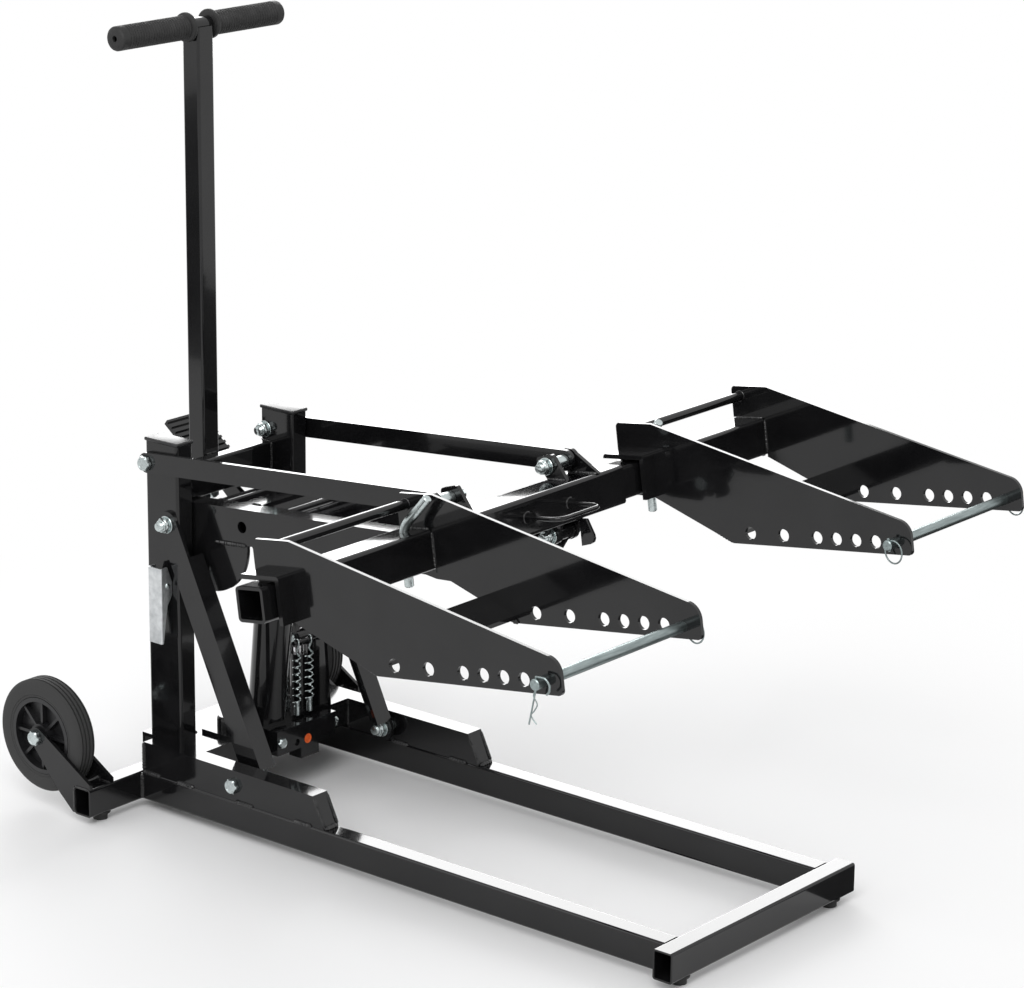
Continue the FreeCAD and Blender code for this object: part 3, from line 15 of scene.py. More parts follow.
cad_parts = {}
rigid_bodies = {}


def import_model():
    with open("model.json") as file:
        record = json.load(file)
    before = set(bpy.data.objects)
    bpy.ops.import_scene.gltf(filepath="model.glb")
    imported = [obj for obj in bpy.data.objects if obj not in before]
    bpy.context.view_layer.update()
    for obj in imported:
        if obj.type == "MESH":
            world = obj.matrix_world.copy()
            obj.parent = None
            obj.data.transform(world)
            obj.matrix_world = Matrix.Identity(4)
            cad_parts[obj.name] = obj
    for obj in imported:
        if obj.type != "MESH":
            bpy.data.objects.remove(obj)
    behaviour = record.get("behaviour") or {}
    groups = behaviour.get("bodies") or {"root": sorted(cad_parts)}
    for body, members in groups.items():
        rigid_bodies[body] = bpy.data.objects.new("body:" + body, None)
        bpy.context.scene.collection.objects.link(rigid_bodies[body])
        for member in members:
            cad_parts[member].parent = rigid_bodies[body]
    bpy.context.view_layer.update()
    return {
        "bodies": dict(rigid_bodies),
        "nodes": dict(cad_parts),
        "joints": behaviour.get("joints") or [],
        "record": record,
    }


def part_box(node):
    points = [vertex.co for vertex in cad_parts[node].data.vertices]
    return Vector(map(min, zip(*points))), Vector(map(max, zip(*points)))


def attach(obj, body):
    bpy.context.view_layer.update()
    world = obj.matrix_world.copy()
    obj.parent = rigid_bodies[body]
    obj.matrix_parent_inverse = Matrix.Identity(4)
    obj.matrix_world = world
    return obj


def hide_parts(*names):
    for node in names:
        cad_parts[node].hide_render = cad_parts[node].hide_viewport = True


LOG = logging.getLogger("mower_lift")
MM = 0.001
SEED = 11
FRONT_TUBE_CORNER = (-194.0, -782.0, 12.0)
TURN = 2 * math.pi

Point = tuple[float, float, float]
Corner = tuple[float, float]
Profile = list[Corner]
Colour = tuple[float, float, float]
Tree = bpy.types.NodeTree
Socket = bpy.types.NodeSocket


class Axis(Enum):
    """The local direction along which a turned piece grows."""

    X = "x"
    Y = "y"
    Z = "z"

    def point(self, centre: Point, along: float, across: float, up: float) -> Point:
        """Stand a point of a turned profile about a centre.

        Args:
            centre: The middle of the piece's base, in millimetres.
            along: Distance from the base along the axis.
            across: First distance square to the axis.
            up: Second distance square to the axis.

        Returns:
            The point in the same local frame as the centre.
        """
        x, y, z = centre
        if self is Axis.X:
            return (x + along, y + across, z + up)
        if self is Axis.Y:
            return (x + across, y + along, z + up)
        return (x + across, y + up, z + along)


class Grain(Enum):
    """The pattern that breaks up a finish's colour."""

    CLOUD = "cloud"
    BRUSHED = "brushed"
    CELL = "cell"


def add_node(tree: Tree, kind: str, values: dict[str, object] | None = None) -> bpy.types.Node:
    """Add a node and set the plain values of its sockets.

    Args:
        tree: The node tree that takes it.
        kind: Its type.
        values: Plain values by the names of their sockets.

    Returns:
        The new node.
    """
    node = tree.nodes.new(kind)
    for socket, value in (values or {}).items():
        node.inputs[socket].default_value = value
    return node


def combine(tree: Tree, operation: str, first: Socket, second: Socket) -> Socket:
    """Combine two values in a maths node.

    Args:
        tree: The node tree that takes it.
        operation: What the node does.
        first: The first value.
        second: The second value.

    Returns:
        The socket that holds the result.
    """
    node = add_node(tree, "ShaderNodeMath")
    node.operation = operation
    tree.links.new(first, node.inputs[0])
    tree.links.new(second, node.inputs[1])
    return node.outputs["Value"]


@dataclass(frozen=True)
class Finish:
    """One procedural finish, made once and shared by every piece that has it."""

    name: str
    slot: str
    colour: Colour
    tint: Colour
    roughness: tuple[float, float]
    metallic: float = 0.0
    specular: float = 0.5
    grain: Grain = Grain.CLOUD
    grain_scale: float = 60.0
    bump_scale: float = 900.0
    bump_depth: float = 0.00004
    bump_strength: float = 0.25
    coat: float = 0.0
    coat_roughness: float = 0.1

    def material(self) -> bpy.types.Material:
        """Return the finish's node material, building it the first time.

        Returns:
            The material.
        """
        found = bpy.data.materials.get(self.name)
        if found:
            return found
        made = bpy.data.materials.new(self.name)
        made.use_nodes = True
        tree = made.node_tree
        shader = tree.nodes["Principled BSDF"]
        shader.inputs["Metallic"].default_value = self.metallic
        shader.inputs["Specular IOR Level"].default_value = self.specular
        shader.inputs["Coat Weight"].default_value = self.coat
        shader.inputs["Coat Roughness"].default_value = self.coat_roughness
        place = add_node(tree, "ShaderNodeTexCoord").outputs["Object"]
        grain_place = place
        if self.grain is Grain.BRUSHED:
            stretch = add_node(tree, "ShaderNodeMapping", {"Scale": (0.12, 1.0, 1.0)})
            tree.links.new(place, stretch.inputs["Vector"])
            grain_place = stretch.outputs["Vector"]
        self.drift(tree, grain_place, shader.inputs["Base Color"])
        self.smear(tree, place, shader.inputs["Roughness"])
        self.relief(tree, grain_place, shader.inputs["Normal"])
        return made

    def drift(self, tree: Tree, place: Socket, target: Socket) -> None:
        """Let the colour wander between the finish's two colours.

        Args:
            tree: The material's node tree.
            place: The coordinates of the pattern.
            target: The socket that takes the colour.
        """
        noise = add_node(tree, "ShaderNodeTexNoise", {"Scale": self.grain_scale, "Detail": 6.0})
        tree.links.new(place, noise.inputs["Vector"])
        ramp = add_node(tree, "ShaderNodeValToRGB")
        stops = ramp.color_ramp.elements
        for stop, position, colour in zip(stops, (0.3, 0.72), (self.colour, self.tint)):
            stop.position = position
            stop.color = (*colour, 1.0)
        tree.links.new(noise.outputs["Fac"], ramp.inputs["Fac"])
        tree.links.new(ramp.outputs["Color"], target)

    def smear(self, tree: Tree, place: Socket, target: Socket) -> None:
        """Let the roughness wander in wide smears.

        Args:
            tree: The material's node tree.
            place: The coordinates of the pattern.
            target: The socket that takes the roughness.
        """
        low, high = self.roughness
        noise = add_node(tree, "ShaderNodeTexNoise", {"Scale": self.grain_scale * 0.31, "Detail": 4.0})
        tree.links.new(place, noise.inputs["Vector"])
        spread = add_node(tree, "ShaderNodeMapRange",
                          {"From Min": 0.3, "From Max": 0.7, "To Min": low, "To Max": high})
        tree.links.new(noise.outputs["Fac"], spread.inputs["Value"])
        tree.links.new(spread.outputs["Result"], target)

    def relief(self, tree: Tree, place: Socket, target: Socket) -> None:
        """Raise the finish's fine grain.

        Args:
            tree: The material's node tree.
            place: The coordinates of the pattern.
            target: The socket that takes the bent normal.
        """
        if self.grain is Grain.CELL:
            pattern = add_node(tree, "ShaderNodeTexVoronoi", {"Scale": self.bump_scale})
            height = pattern.outputs["Distance"]
        else:
            pattern = add_node(tree, "ShaderNodeTexNoise", {"Scale": self.bump_scale, "Detail": 2.0})
            height = pattern.outputs["Fac"]
        tree.links.new(place, pattern.inputs["Vector"])
        bump = add_node(tree, "ShaderNodeBump", {"Strength": self.bump_strength, "Distance": self.bump_depth})
        tree.links.new(height, bump.inputs["Height"])
        tree.links.new(bump.outputs["Normal"], target)


POWDER_COAT = Finish("black_powder_coat", "black_paint", (0.0045, 0.0045, 0.005), (0.0085, 0.0085, 0.009),
                     (0.06, 0.13), specular=0.24, grain_scale=14.0, bump_scale=650.0, bump_depth=0.00008,
                     bump_strength=0.2, coat=0.4, coat_roughness=0.04)
WELD_PAINT = Finish("painted_weld", "black_paint", (0.004, 0.004, 0.0045), (0.009, 0.009, 0.0095),
                    (0.07, 0.18), specular=0.6, grain_scale=160.0, bump_scale=1400.0, bump_depth=0.0002,
                    bump_strength=0.5)
ZINC = Finish("bright_zinc", "zinc_plate", (0.62, 0.68, 0.68), (0.43, 0.48, 0.48), (0.14, 0.32), metallic=1.0,
              grain=Grain.BRUSHED, grain_scale=240.0, bump_scale=1500.0, bump_depth=0.00005)
ROD_ZINC = Finish("drawn_zinc_rod", "zinc_plate", (0.36, 0.42, 0.42), (0.22, 0.26, 0.26), (0.3, 0.42),
                  metallic=1.0, grain=Grain.BRUSHED, grain_scale=320.0, bump_scale=1500.0, bump_depth=0.00005)
DULL_ZINC = Finish("dull_zinc_sheet", "zinc_plate", (0.74, 0.76, 0.77), (0.50, 0.52, 0.53), (0.3, 0.5),
                   metallic=1.0, grain=Grain.CELL, grain_scale=90.0, bump_scale=260.0, bump_depth=0.00008)
GROUND_STEEL = Finish("ground_ram_steel", "ground_steel", (0.66, 0.66, 0.67), (0.5, 0.5, 0.52), (0.1, 0.2),
                      metallic=1.0, grain=Grain.BRUSHED, grain_scale=600.0, bump_scale=2400.0,
                      bump_depth=0.00002)
RUBBER = Finish("moulded_rubber", "black_rubber", (0.012, 0.012, 0.012), (0.022, 0.022, 0.022), (0.5, 0.66),
                specular=0.4, grain_scale=120.0, bump_scale=2600.0, bump_depth=0.00008, bump_strength=0.4)
TYRE_RUBBER = Finish("tyre_rubber", "tyre_rubber", (0.034, 0.034, 0.035), (0.06, 0.06, 0.06), (0.3, 0.44),
                     specular=0.45, grain_scale=40.0, bump_scale=1700.0, bump_depth=0.0001, bump_strength=0.4)
PLASTIC = Finish("moulded_black_plastic", "black_plastic", (0.008, 0.008, 0.009), (0.014, 0.014, 0.015),
                 (0.3, 0.42), specular=0.45, grain=Grain.CELL, grain_scale=80.0, bump_scale=2200.0,
                 bump_depth=0.00006, bump_strength=0.35)
DIAL_ORANGE = Finish("orange_dial_plastic", "black_plastic", (0.86, 0.14, 0.02), (0.72, 0.1, 0.015),
                     (0.3, 0.42), specular=0.4, grain_scale=300.0, bump_scale=2600.0)
FINISH_OF_SLOT = {
    "black_paint": POWDER_COAT, "zinc_plate": ZINC, "ground_steel": GROUND_STEEL, "black_rubber": RUBBER,
    "tyre_rubber": TYRE_RUBBER, "black_plastic": PLASTIC,
}


def facing(profile: Profile, way: int) -> Profile:
    """Return a profile that grows along its axis for one and against it for minus one."""
    return [(way * along, radius) for along, radius in profile]


@dataclass(frozen=True)
class Place:
    """A local frame of the lift: where it stands, in millimetres, and how it leans about X."""

    y: float = 0.0
    z: float = 0.0
    lean: float = 0.0

    def at(self, x: float, y: float, z: float) -> Vector:
        """Stand a local point in the scene.

        Args:
            x: Its place across the lift, in millimetres.
            y: Its place along the local frame, in millimetres.
            z: Its height in the local frame, in millimetres.

        Returns:
            The point in metres.
        """
        turn_cos, turn_sin = math.cos(self.lean), math.sin(self.lean)
        across = self.y + y * turn_cos - z * turn_sin
        up = self.z + y * turn_sin + z * turn_cos
        return Vector((x, across, up)) * MM + origin()


@cache
def origin() -> Vector:
    """Return the scene point of the drawing's own zero, read from the front cross tube."""
    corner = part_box("front_cross_tube")[0]
    return corner - Vector(FRONT_TUBE_CORNER) * MM


LINK_TILT = math.atan2(43.0, 509.0)
BASE = Place()
CARRIAGE = Place(-373.0, 483.0, -math.radians(8.2))
ARM = Place(130.0, 399.0, -LINK_TILT)
SIDES = (-1, 1)
SHARP_ANGLE = math.radians(34)
BEAD_STEPS_PER_PITCH = 4
BEAD_TIP_SHARE = 0.45
BEAD_TAPER_LENGTH = 5.0
BEAD_WANDER = 0.16
BEAD_TROUGH = 0.8
BEAD_RIPPLE = 0.26


def rounded(points: list[Point], per: int = 6, loop: bool = False) -> list[Point]:
    """Pass a smooth line through points.

    Args:
        points: The points to pass through.
        per: Steps between two points.
        loop: Whether the last point joins the first.

    Returns:
        The points of the smooth line.
    """
    line = [Vector(point) for point in points]
    count = len(line)
    smooth = []
    for number in range(count if loop else count - 1):
        if loop:
            a, b, c, d = (line[(number + step) % count] for step in (-1, 0, 1, 2))
        else:
            a, b = line[max(number - 1, 0)], line[number]
            c, d = line[number + 1], line[min(number + 2, count - 1)]
        for step in range(per):
            t = step / per
            smooth.append(tuple(0.5 * (2 * b + (c - a) * t + (2 * a - 5 * b + 4 * c - d) * t ** 2
                                       + (3 * b - a - 3 * c + d) * t ** 3)))
    if not loop:
        smooth.append(tuple(line[-1]))
    return smooth


class Former:
    """Gathers shapes given in a local frame's millimetres and makes one piece of them."""

    def __init__(self, place: Place) -> None:
        """Start an empty mesh in a local frame."""
        self.mesh = bmesh.new()
        self.place = place

    def vertex(self, point: Point) -> bmesh.types.BMVert:
        """Add one vertex."""
        return self.mesh.verts.new(self.place.at(*point))

    def skin(self, first: list[bmesh.types.BMVert], second: list[bmesh.types.BMVert]) -> None:
        """Close the band between two rings, either of which may be a single tip.

        Args:
            first: The vertices of one ring, in order.
            second: The vertices of the next ring, in order.
        """
        count = max(len(first), len(second))
        for step in range(count):
            after = (step + 1) % count
            corners = [first[step % len(first)], first[after % len(first)],
                       second[after % len(second)], second[step % len(second)]]
            corners = list(dict.fromkeys(corners))
            if len(corners) > 2:
                self.mesh.faces.new(corners)

    def turned(self, axis: Axis, centre: Point, profile: Profile, flats: float = 0.0, steps: int = 48,
               closed: bool = False) -> None:
        """Revolve a profile, with flats where it is cut from hexagon bar.

        Args:
            axis: The direction of the axis.
            centre: The point that the profile's distances start from.
            profile: Pairs of distance along the axis and radius.
            flats: Size across the flats, or zero for a round piece.
            steps: Divisions round the axis.
            closed: Whether the profile's end joins its start.
        """
        rings = []
        for along, radius in profile:
            if radius <= 0:
                rings.append([self.vertex(axis.point(centre, along, 0.0, 0.0))])
                continue
            ring = []
            for step in range(steps):
                angle = TURN * step / steps
                reach = radius
                if flats:
                    reach = min(radius, flats / 2 / math.cos(angle % (TURN / 6) - TURN / 12))
                ring.append(self.vertex(axis.point(centre, along, reach * math.cos(angle),
                                                   reach * math.sin(angle))))
            rings.append(ring)
        for first, second in zip(rings, rings[1:]):
            self.skin(first, second)
        if closed:
            self.skin(rings[-1], rings[0])

    def wire(self, points: list[Point], radii: list[float], sides: int = 10, loop: bool = False) -> None:
        """Run a round section along a line.

        Args:
            points: The points of its middle line.
            radii: A radius for each point, taken by turns where they are fewer.
            sides: Divisions round the section.
            loop: Whether the last point joins the first.
        """
        line = [Vector(point) for point in points]
        count = len(line)
        rings, normal = [], None
        for number, point in enumerate(line):
            before = line[number - 1] if number or loop else point
            after = line[(number + 1) % count] if number + 1 < count or loop else point
            heading = (after - before).normalized()
            if normal is None:
                normal = heading.orthogonal().normalized()
            normal = (normal - heading * normal.dot(heading)).normalized()
            other = heading.cross(normal)
            radius = radii[number % len(radii)]
            ring = []
            for side in range(sides):
                angle = TURN * side / sides
                ring.append(self.vertex(tuple(point + normal * (radius * math.cos(angle))
                                              + other * (radius * math.sin(angle)))))
            rings.append(ring)
        for first, second in zip(rings, rings[1:]):
            self.skin(first, second)
        if loop:
            self.skin(rings[-1], rings[0])
        else:
            for ring, point in ((rings[0], line[0]), (rings[-1], line[-1])):
                self.skin(ring, [self.vertex(tuple(point))])

    def bead(self, start: Point, end: Point, radius: float = 2.6, pitch: float = 2.6) -> None:
        """Lay a rippled weld bead from one point to another.

        Args:
            start: Where it starts.
            end: Where it ends.
            radius: Its radius before ripples and tapers.
            pitch: Distance from one ripple to the next.
        """
        begin, finish = Vector(start), Vector(end)
        length = (finish - begin).length
        count = max(6, int(length / (pitch / BEAD_STEPS_PER_PITCH)))
        points, radii = [], []
        phase = random.random() * pitch
        for number in range(count + 1):
            share = number / count
            ripple = abs(math.cos(math.pi * (share * length + phase) / pitch))
            taper = min(1.0, BEAD_TIP_SHARE + min(share, 1 - share) * length / BEAD_TAPER_LENGTH)
            wander = Vector([random.uniform(-BEAD_WANDER, BEAD_WANDER) for _ in range(3)])
            points.append(tuple(begin.lerp(finish, share) + wander))
            radii.append(radius * taper * (BEAD_TROUGH + BEAD_RIPPLE * ripple))
        self.wire(points, radii, sides=8)

    def ring_bead(self, axis: Axis, centre: Point, ring: float, radii: tuple[float, float],
                  steps: int) -> None:
        """Lay a weld bead all round a rod or a boss.

        Args:
            axis: The axis that it goes round.
            centre: The middle of the ring.
            ring: The ring's radius.
            radii: Two radii of the bead, taken by turns.
            steps: Divisions round the ring.
        """
        angles = [TURN * number / steps for number in range(steps)]
        points = [axis.point(centre, 0.0, ring * math.cos(angle), ring * math.sin(angle)) for angle in angles]
        self.wire(points, list(radii), sides=8, loop=True)

    def plate(self, axis: Axis, outline: Profile, low: float, high: float, soft: float = 0.6) -> None:
        """Add a flat plate with broken edges, square to X or Y.

        Args:
            axis: The direction of its thickness.
            outline: Its corners, as pairs of the other two coordinates.
            low: Where its thickness starts.
            high: Where its thickness ends.
            soft: How far its edges are broken.
        """
        middle = sum((Vector(corner) for corner in outline), Vector((0.0, 0.0))) / len(outline)
        rings = []
        for along, inset in ((low, soft), (low + soft, 0.0), (high - soft, 0.0), (high, soft)):
            ring = []
            for corner in outline:
                a, b = Vector(corner) + (middle - Vector(corner)).normalized() * inset
                ring.append(self.vertex((along, a, b) if axis is Axis.X else (a, along, b)))
            rings.append(ring)
        for first, second in zip(rings, rings[1:]):
            self.skin(first, second)
        self.mesh.faces.new(rings[0])
        self.mesh.faces.new(rings[-1])

    def soft_block(self, low: Point, high: Point, soft: float, segments: int = 3) -> None:
        """Add a block with rounded edges.

        Args:
            low: Its lowest corner.
            high: Its highest corner.
            soft: How far its edges are rounded.
            segments: Steps across a rounded edge.
        """
        size = [b - a for a, b in zip(low, high)]
        middle = [(a + b) / 2 for a, b in zip(low, high)]
        made = bmesh.ops.create_cube(self.mesh, size=1.0)["verts"]
        for vert in made:
            vert.co = Vector([centre + part * extent for centre, part, extent in zip(middle, vert.co, size)])
        edges = list({edge for vert in made for edge in vert.link_edges})
        result = bmesh.ops.bevel(self.mesh, geom=edges, offset=soft, segments=segments, profile=0.5,
                                 affect="EDGES")
        touched = {vert for face in result["faces"] for vert in face.verts}
        for vert in touched | {v for v in made if v.is_valid}:
            vert.co = self.place.at(*vert.co)

    def piece(self, name: str, body: str, finish: Finish, replaces: tuple[str, ...] = ()) -> bpy.types.Object:
        """Turn what was gathered into one smooth piece.

        Args:
            name: The piece's name.
            body: The CAD body that it moves with.
            finish: Its finish.
            replaces: The CAD nodes that it stands for.

        Returns:
            The new object.
        """
        bmesh.ops.recalc_face_normals(self.mesh, faces=self.mesh.faces)
        data = bpy.data.meshes.new(name)
        self.mesh.to_mesh(data)
        self.mesh.free()
        data.polygons.foreach_set("use_smooth", [True] * len(data.polygons))
        data.set_sharp_from_angle(angle=SHARP_ANGLE)
        made = bpy.data.objects.new(name, data)
        bpy.context.scene.collection.objects.link(made)
        data.materials.append(finish.material())
        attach(made, body)
        if replaces:
            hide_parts(*replaces)
        LOG.info("%s: %d faces on %s", name, len(data.polygons), body)
        return made


@dataclass(frozen=True)
class Seam:
    """One straight weld bead, given for the right side of the lift."""

    start: Point
    end: Point
    radius: float = 2.6
    pitch: float = 2.6

    def lay(self, welds: Former, side: int = 1) -> None:
        """Lay the bead, mirrored for the left side.

        Args:
            welds: The piece that takes the bead.
            side: Minus one for the left of the machine and one for the right.
        """
        start = (side * self.start[0], *self.start[1:])
        end = (side * self.end[0], *self.end[1:])
        welds.bead(start, end, self.radius, self.pitch)


@dataclass(frozen=True)
class HexBolt:
    """A zinc hexagon bolt along X with its washer and locking nut, on one side of the lift."""

    y: float
    z: float
    head_at: float
    nut_at: float
    head_outside: bool = True
    radius: float = 6.0
    across: float = 19.0
    head_height: float = 7.5
    nut_height: float = 10.0
    washer_radius: float = 12.0
    washer_height: float = 2.5
    tail: float = 5.0
    thread_pitch: float = 1.5
    thread_depth: float = 0.75
    thread_run_out: float = 3.0

    def forge(self, former: Former, side: int) -> None:
        """Add the bolt to a piece.

        Args:
            former: The piece that takes the bolt.
            side: Minus one for the left of the machine and one for the right.
        """
        out = side if self.head_outside else -side
        head_x, nut_x = side * self.head_at, side * self.nut_at
        length = abs(self.head_at - self.nut_at) + self.washer_height + self.nut_height + self.tail
        self.head(former, (head_x, self.y, self.z), out)
        self.washer(former, (nut_x, self.y, self.z), -out)
        self.nut(former, (nut_x - out * self.washer_height, self.y, self.z), -out)
        self.shank(former, (head_x, self.y, self.z), -out, length)

    def head(self, former: Former, centre: Point, out: int, axis: Axis = Axis.X) -> None:
        """Add the head, its crown chamfered round.

        Args:
            former: The piece that takes the head.
            centre: The middle of its seat.
            out: The way that it grows along the axis, one or minus one.
            axis: The bolt's axis.
        """
        corner, flat, height = self.across * 0.6, self.across * 0.5, self.head_height
        dish = height - 0.35
        profile = [(0.0, 0.0), (0.0, self.across * 0.49), (0.4, corner), (height * 0.78, corner),
                   (height, flat * 0.95), (height, flat * 0.78), (dish, flat * 0.74), (dish, 0.0)]
        former.turned(axis, centre, facing(profile, out), flats=self.across)

    def nut(self, former: Former, centre: Point, out: int) -> None:
        """Add a nut with its rounded locking collar.

        Args:
            former: The piece that takes the nut.
            centre: The middle of its seat.
            out: The way that it grows along X, one or minus one.
        """
        across, height, bore = self.across, self.nut_height, self.radius
        profile = [(0.0, bore), (0.0, across * 0.48), (0.9, across * 0.6), (height * 0.62, across * 0.6),
                   (height * 0.72, across * 0.475), (height * 0.9, across * 0.46), (height, across * 0.41),
                   (height, bore + 0.9), (height - 0.8, bore + 0.5), (height - 0.8, bore)]
        former.turned(Axis.X, centre, facing(profile, out), flats=across)

    def washer(self, former: Former, centre: Point, out: int) -> None:
        """Add a flat washer with its edges just broken.

        Args:
            former: The piece that takes the washer.
            centre: The middle of its seat.
            out: The way that it grows along X, one or minus one.
        """
        outer, thick = self.washer_radius, self.washer_height
        profile = [(0.0, self.radius), (0.0, outer - 0.5), (0.5, outer), (thick - 0.5, outer),
                   (thick, outer - 0.5), (thick, self.radius)]
        former.turned(Axis.X, centre, facing(profile, out), closed=True)

    def shank(self, former: Former, centre: Point, out: int, length: float) -> None:
        """Add the shank with its thread at the nut's end.

        Args:
            former: The piece that takes the shank.
            centre: The middle of the head's seat.
            out: The way that it grows along X, one or minus one.
            length: Its length.
        """
        crest, root, pitch = self.radius, self.radius - self.thread_depth, self.thread_pitch
        along = length - (self.nut_height + self.tail + self.thread_run_out)
        profile: Profile = [(0.0, 0.0), (0.0, crest), (along, crest)]
        while along < length - 1.2:
            profile += [(along + pitch * 0.25, root), (along + pitch * 0.75, crest)]
            along += pitch
        profile += [(length - 0.2, crest - 1.1), (length, crest - 1.6), (length, 0.0)]
        former.turned(Axis.X, centre, facing(profile, out), steps=32)


SMALL_BOLT = HexBolt(0.0, 0.0, 0.0, 0.0, across=13.0, head_height=5.5)


def bush(former: Former, centre: Point, outer: float, bore: float, length: float) -> None:
    """Add a spacer bush along X with broken edges.

    Args:
        former: The piece that takes the bush.
        centre: The middle of its start.
        outer: Outer radius.
        bore: Inner radius.
        length: Length, negative to grow towards -X.
    """
    soft = 0.6
    end = length - math.copysign(soft, length)
    profile = [(0.0, bore), (0.0, outer - soft), (math.copysign(soft, length), outer), (end, outer),
               (length, outer - soft), (length, bore)]
    former.turned(Axis.X, centre, profile, closed=True)


@dataclass
class Frame:
    """The base frame: its joints' welds, its bolts and the caps of the uprights."""

    rail_outer: float = 174.0
    rail_inner: float = 144.0
    stiffener_outer: float = 171.5
    stiffener_inner: float = 143.5
    stitch_starts: tuple[float, ...] = (-168.0, -62.0, 48.0, 112.0)
    stitch_length: float = 32.0
    front_tube_rear: float = -752.0
    rear_tube_front: float = 145.0
    rear_tube_rear: float = 175.2
    base_top: float = 52.0
    channel_top: float = 95.0
    upright_inner: float = 98.0
    upright_outer: float = 128.0
    upright_front: float = 113.6
    upright_rear: float = 173.6
    upright_top: float = 508.0
    cross_front: float = 153.6
    cross_low: float = 413.0
    cross_high: float = 463.0
    fork_faces: tuple[float, ...] = (228.0, 233.0, 267.7, 272.7)
    cap_lip: float = 1.2
    cap_height: float = 5.0
    plug_inset: float = 3.2
    plug_depth: float = 8.0
    brace_bush_start: float = 133.0
    brace_bush_length: float = 10.5
    brace_bolt: HexBolt = HexBolt(-26.0, 73.6, 171.5, 128.0)
    axle_bolt: HexBolt = HexBolt(248.0, 104.0, 272.7, 228.0)
    arm_bolt: HexBolt = HexBolt(130.0, 399.0, 66.5, 133.0, head_outside=False)
    link_bolt: HexBolt = HexBolt(164.40, 479.35, 136.0, 98.0)
    pole_bolt_head: Point = (0.0, 173.6, 406.5)

    def build(self) -> None:
        """Build the frame's fasteners, caps and welds."""
        self.fasteners()
        self.caps()
        self.welds()

    def fasteners(self) -> None:
        """Build every bolt that the base carries."""
        frame = Former(BASE)
        brace = self.brace_bolt
        for side in SIDES:
            brace.forge(frame, side)
            bush(frame, (side * self.brace_bush_start, brace.y, brace.z), 10.0, brace.radius,
                 side * self.brace_bush_length)
        SMALL_BOLT.head(frame, self.pole_bolt_head, -1, Axis.Y)
        frame.piece("bolts_frame", "base", ZINC, ("frame_bolts",))
        for name, bolt, node in (("bolts_axle", self.axle_bolt, "axle_bolts"),
                                 ("bolts_arm_pivot", self.arm_bolt, "arm_pivot_bolts"),
                                 ("bolts_link_pivot", self.link_bolt, "link_pivot_bolts")):
            former = Former(BASE)
            for side in SIDES:
                bolt.forge(former, side)
            former.piece(name, "base", ZINC, (node,))

    def caps(self) -> None:
        """Build the moulded caps that close the uprights."""
        caps = Former(BASE)
        front, rear, top = self.upright_front, self.upright_rear, self.upright_top
        lip, inset = self.cap_lip, self.plug_inset
        for side in SIDES:
            low, high = sorted((side * self.upright_inner, side * self.upright_outer))
            caps.soft_block((low - lip, front - lip, top),
                            (high + lip, rear + lip, top + self.cap_height), 1.9)
            caps.soft_block((low + inset, front + inset, top - self.plug_depth),
                            (high - inset, rear - inset, top + 1.0), 1.2)
        caps.piece("caps_upright", "base", PLASTIC, ("upright_caps",))

    def welds(self) -> None:
        """Lay the base frame's weld beads."""
        welds = Former(BASE)
        seams = (self.rail_seams() + self.stiffener_seams() + self.upright_seams() + self.fork_seams()
                 + self.jack_plate_seams() + self.pole_seams())
        for side in SIDES:
            for seam in seams:
                seam.lay(welds, side)
        Seam((-10.0, 174.0, 463.2), (10.0, 174.0, 463.2), 2.0).lay(welds)
        welds.piece("welds_base", "base", WELD_PAINT)

    def rail_seams(self) -> list[Seam]:
        """Return the seams that join a rail to the two cross tubes.

        Returns:
            The seams, the rail's outer face first.
        """
        low, high = 13.5, self.base_top - 1.5
        return [Seam((x, y, low), (x, y, high), radius, pitch)
                for x in (self.rail_outer, self.rail_inner)
                for y, radius, pitch in ((self.front_tube_rear, 2.2, 2.6), (self.rear_tube_front, 3.2, 4.4))]

    def stiffener_seams(self) -> list[Seam]:
        """Return the short seams along a stiffener and those at its ends.

        Returns:
            The seams.
        """
        top, high = self.base_top, self.channel_top
        outer, inner = self.stiffener_outer, self.stiffener_inner
        seams = [Seam((x, start, top), (x, start + self.stitch_length, top), 3.4, 4.2)
                 for start in self.stitch_starts for x in (outer, inner)]
        seams.append(Seam((146.0, -191.0, top + 1.0), (170.0, -191.0, top + 1.0), 3.6, 4.6))
        seams += [Seam((x, -189.8, top + 2.0), (x, -171.0, high - 3.0), 2.2, 3.4)
                  for x in (outer - 1.4, inner + 1.4)]
        seams.append(Seam((outer, 143.0, top + 1.0), (outer, 143.0, high - 1.0), 2.8, 4.2))
        seams.append(Seam((inner, 52.6, top + 2.0), (inner, 52.6, high - 2.0), 2.4))
        return seams

    def upright_seams(self) -> list[Seam]:
        """Return the seams at an upright's foot and at the cross member's end.

        Returns:
            The seams.
        """
        inner, front, top = self.upright_inner, self.cross_front, self.channel_top
        seams = [Seam((inner, self.upright_front, top), (inner, self.upright_rear, top), 2.6)]
        seams += [Seam((inner, 155.0, z), (inner, 172.0, z), 2.0) for z in (self.cross_low, self.cross_high)]
        seams.append(Seam((inner, front, self.cross_low + 1.5), (inner, front, self.cross_high - 1.5), 2.3))
        return seams

    def fork_seams(self) -> list[Seam]:
        """Return the seams that hold the fork plates on the rear cross tube.

        Returns:
            The seams, two on each face of the plates.
        """
        rear, top = self.rear_tube_rear, self.base_top
        seams = []
        for x in self.fork_faces:
            seams.append(Seam((x, rear, 15.0), (x, rear, 50.0), 2.0))
            seams.append(Seam((x, 147.0, top), (x, 173.0, top), 1.9))
        return seams

